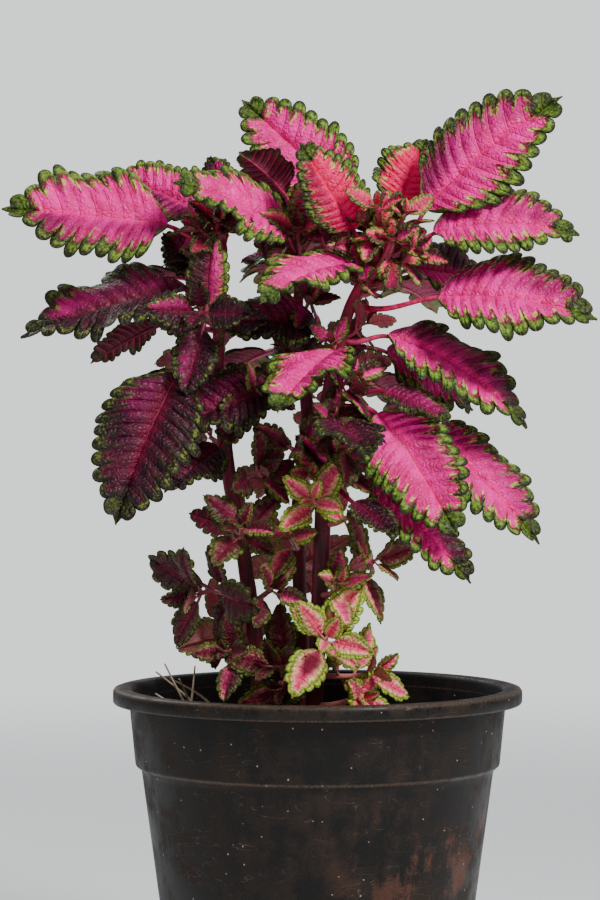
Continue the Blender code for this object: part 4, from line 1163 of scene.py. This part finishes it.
# %% The potting mix
def soil_paint():
    p = Paint("potting_mix", roughness=0.95)
    lump, grain = p.noise(6, 5, 0.65), p.noise(1.2, 3)
    colour = p.mix(p.step(lump, 0.35, 0.68), srgb(38, 26, 20), srgb(84, 62, 46))
    colour = p.mix(p.step(grain, 0.64, 0.72) * 0.7, colour, srgb(136, 110, 84))
    p.use("Base Color", colour)
    p.bump(lump * 0.6 + grain * 0.5, 1.2, 0.8)
    return p.material


def dry_stem_paint():
    p = Paint("dry_stem", roughness=0.8)
    p.use("Base Color", p.mix(p.noise(2, 3), srgb(120, 98, 78), srgb(196, 178, 152)))
    return p.material


MIX, DRY_STEM = soil_paint(), dry_stem_paint()
SOIL_TOP, MOUND, MOUND_RADIUS = 198.5, 3, 110
LUMPS = ((0.06, 1.4), (0.13, 0.9), (0.29, 0.7), (0.61, 0.45))  # (pace, height) of each wave of the surface


def soil_height(x, y):
    """The height of the soil's top: low lumps on a shallow mound."""
    waves = 0.0
    for k, (pace, size) in enumerate(LUMPS):
        turn = 1.9 * k + 0.4
        along = x * math.cos(turn) + y * math.sin(turn)
        off = -x * math.sin(turn) + y * math.cos(turn)
        waves = waves + size * np.sin(pace * along + 2 * k) * np.sin(pace * 1.17 * off + 3 * k)
    return SOIL_TOP - MOUND * (np.hypot(x, y) / MOUND_RADIUS) ** 2 + waves


print("soil surface at the middle", round(float(soil_height(0.0, 0.0)), 1), "mm")

# %% Loose bits on the soil
STICKS = (  # (foot, head, bow) of each bit of dry stem
    ((-58, 12, 197), (-99, 2, 239), 4), ((-66, -8, 197), (-94, 12, 243), -3),
    ((-74, 20, 197), (-84, -14, 236), 5), ((-60, -20, 197), (-98, -24, 228), 3),
    ((-80, 4, 198), (-76, 30, 240), -4), ((-50, 30, 198), (-92, 34, 232), 6),
)
STICK_RADII = np.linspace(1.1, 0.5, 12)
CRUMBS, CRUMB_REACH = 420, 108
CRUMB_LEAST, CRUMB_MORE = 0.8, 2.6  # the smallest radius, and how much more the largest has


def dry_sticks():
    """Bits of dry stem that lie against the pot's wall on the left."""
    sticks = []
    for foot, head, bow in STICKS:
        foot, head = np.array(foot, float), np.array(head, float)
        middle = (foot + head) / 2 + np.array([0.0, bow, bow])
        path = curve((foot, middle, middle, head), np.linspace(0, 1, len(STICK_RADII)))
        stick = copy_of(SMALL.stalk, tube_points(SMALL.stalk_at, path, FRONT, STICK_RADII))
        stick.data.materials.clear()
        stick.data.materials.append(DRY_STEM)
        stick.data.polygons.foreach_set("material_index", [0] * len(stick.data.polygons))
        sticks.append(stick)
    return sticks


def loose_crumbs(rng):
    """Lumpy bits with twenty faces each, most of them small."""
    master = added(bpy.ops.mesh.primitive_ico_sphere_add, "crumb", subdivisions=1, radius=1)
    ball = points_of(master)
    crumbs = []
    for _ in range(CRUMBS):
        r, a = CRUMB_REACH * math.sqrt(rng.uniform(0, 1)), rng.uniform(0, math.tau)
        x, y = r * math.cos(a), r * math.sin(a)
        size = CRUMB_LEAST + CRUMB_MORE * rng.uniform(0, 1) ** 3
        lumps = ball * (1 + rng.uniform(-0.22, 0.22, (len(ball), 1)))
        lumps = lumps * rng.uniform(0.6, 1.2, 3) * size
        crumbs.append(copy_of(master, lumps + (x, y, soil_height(x, y) + size * 0.3)))
    bpy.data.objects.remove(master)
    return crumbs


# %% Fill the pot
SOIL_STEPS, SOIL_RINGS, SOIL_RADIUS, SOIL_SEED = 180, 66, 110.5, 7
FLAT_TOP, TOP_FROM = 198.0, 190  # the plug's top before it is roughened, and where its sides end
ROUGHNESS_MM = 0.35


def soil_piece():
    top = [(radius, FLAT_TOP) for radius in np.linspace(0, SOIL_RADIUS, SOIL_RINGS)]
    side = [(109.2, BAND_FOOT_HEIGHT + 0.6), (BODY_TOP - WALL - 0.5, STEP_HEIGHT), (81.0, 3), (0, 3)]
    soil = spun("soil_plug", top + side, SOIL_STEPS)
    points = points_of(soil) / MM
    on_top = points[:, 2] > TOP_FROM
    rng = np.random.default_rng(SOIL_SEED)
    heights = soil_height(points[:, 0], points[:, 1]) + rng.normal(0, ROUGHNESS_MM, len(points))
    points[on_top, 2] = heights[on_top]
    move_points(soil, points * MM)
    crumbs = loose_crumbs(rng)
    for piece in [soil] + crumbs:
        piece.data.materials.append(MIX)
    hand_over([soil] + crumbs + dry_sticks(), "soil")


soil_piece()
for kind in (LARGE, SMALL, TINY):
    bpy.data.objects.remove(kind.sheet)
    bpy.data.objects.remove(kind.stalk)

# %% [markdown]
# ## Studio
# A pale floor that fades out into even pale air, one soft lamp high on the right, where the sun stands in
# the photograph, a weak fill on the left and a soft lamp behind. There is no wall, so the plant can be
# seen from every side. The air looks paler than the light it gives, so that the leaves keep their
# modelling.

# %% Floor and air
FLOOR_SIZE, FADE_FROM, FADE_TO = 160, 0.7, 2.6  # metres; the floor fades out between the last two
AIR_LIGHT, AIR_SEEN = 0.42, 1.25  # the light that the air gives, and how bright it looks


def lay_floor():
    floor = added(bpy.ops.mesh.primitive_plane_add, "floor", size=FLOOR_SIZE, location=(0, 0, 0))
    p = Paint("pale_floor", roughness=0.9, Specular_IOR_Level=0.1)
    p.use("Base Color", p.mix(p.noise(400, 2), (0.86, 0.87, 0.88), (0.9, 0.91, 0.92)))
    p.use("Alpha", p.step(p.length(p.place()), FADE_TO, FADE_FROM))
    floor.data.materials.append(p.material)


def fill_air():
    world = bpy.data.worlds.new("studio_air")
    world.use_nodes = True
    nodes, links = world.node_tree.nodes, world.node_tree.links
    air = nodes["Background"]
    air.inputs["Color"].default_value = (0.96, 0.98, 1.0, 1)
    strength = nodes.new("ShaderNodeMapRange")
    strength.inputs["To Min"].default_value = AIR_LIGHT
    strength.inputs["To Max"].default_value = AIR_SEEN
    links.new(nodes.new("ShaderNodeLightPath").outputs["Is Camera Ray"], strength.inputs["Value"])
    links.new(strength.outputs["Result"], air.inputs["Strength"])
    bpy.context.scene.world = world


lay_floor()
fill_air()
print("floor", FLOOR_SIZE, "m wide, fades out by", FADE_TO, "m")

# %% [markdown]
# ## Lamps and camera
# Each lamp is turned to the plant's middle. The camera stands where the photograph was taken from, a
# little above the plant's middle, and a long lens keeps the plant's proportions.

# %% Set the lamps and the camera
LAMPS = (  # (name, place, size, watts)
    ("key", (0.9, -1.2, 1.6), 0.45, 47),
    ("fill", (-1.8, -1.4, 0.8), 1.2, 3),
    ("rim_light", (-0.7, 1.0, 1.3), 0.7, 8),
)
LAMP_TARGET = Vector((0, 0, 0.38))
CAMERA_TARGET, CAMERA_STAND = Vector((-0.0107, 0, 0.3748)), Vector((0, -1.8, 0.0222))
SENSOR, LENS, CLIP_START = 36, 117.8, 0.05


def stand(obj, place, target):
    """Puts a lamp or the camera in its place and turns it to the target."""
    obj.location = place
    obj.rotation_euler = (target - Vector(place)).to_track_quat("-Z", "Y").to_euler()


for name, place, size, watts in LAMPS:
    light = bpy.data.lights.new(name, "AREA")
    light.size, light.energy = size, watts
    stand(linked(name, light), place, LAMP_TARGET)
lens = bpy.data.cameras.new("camera")
lens.sensor_width, lens.lens, lens.clip_start = SENSOR, LENS, CLIP_START
camera = linked("camera", lens)
stand(camera, CAMERA_TARGET + CAMERA_STAND, CAMERA_TARGET)
bpy.context.scene.camera = camera
print("lamps", [name for name, *_ in LAMPS], "lens", LENS, "mm")
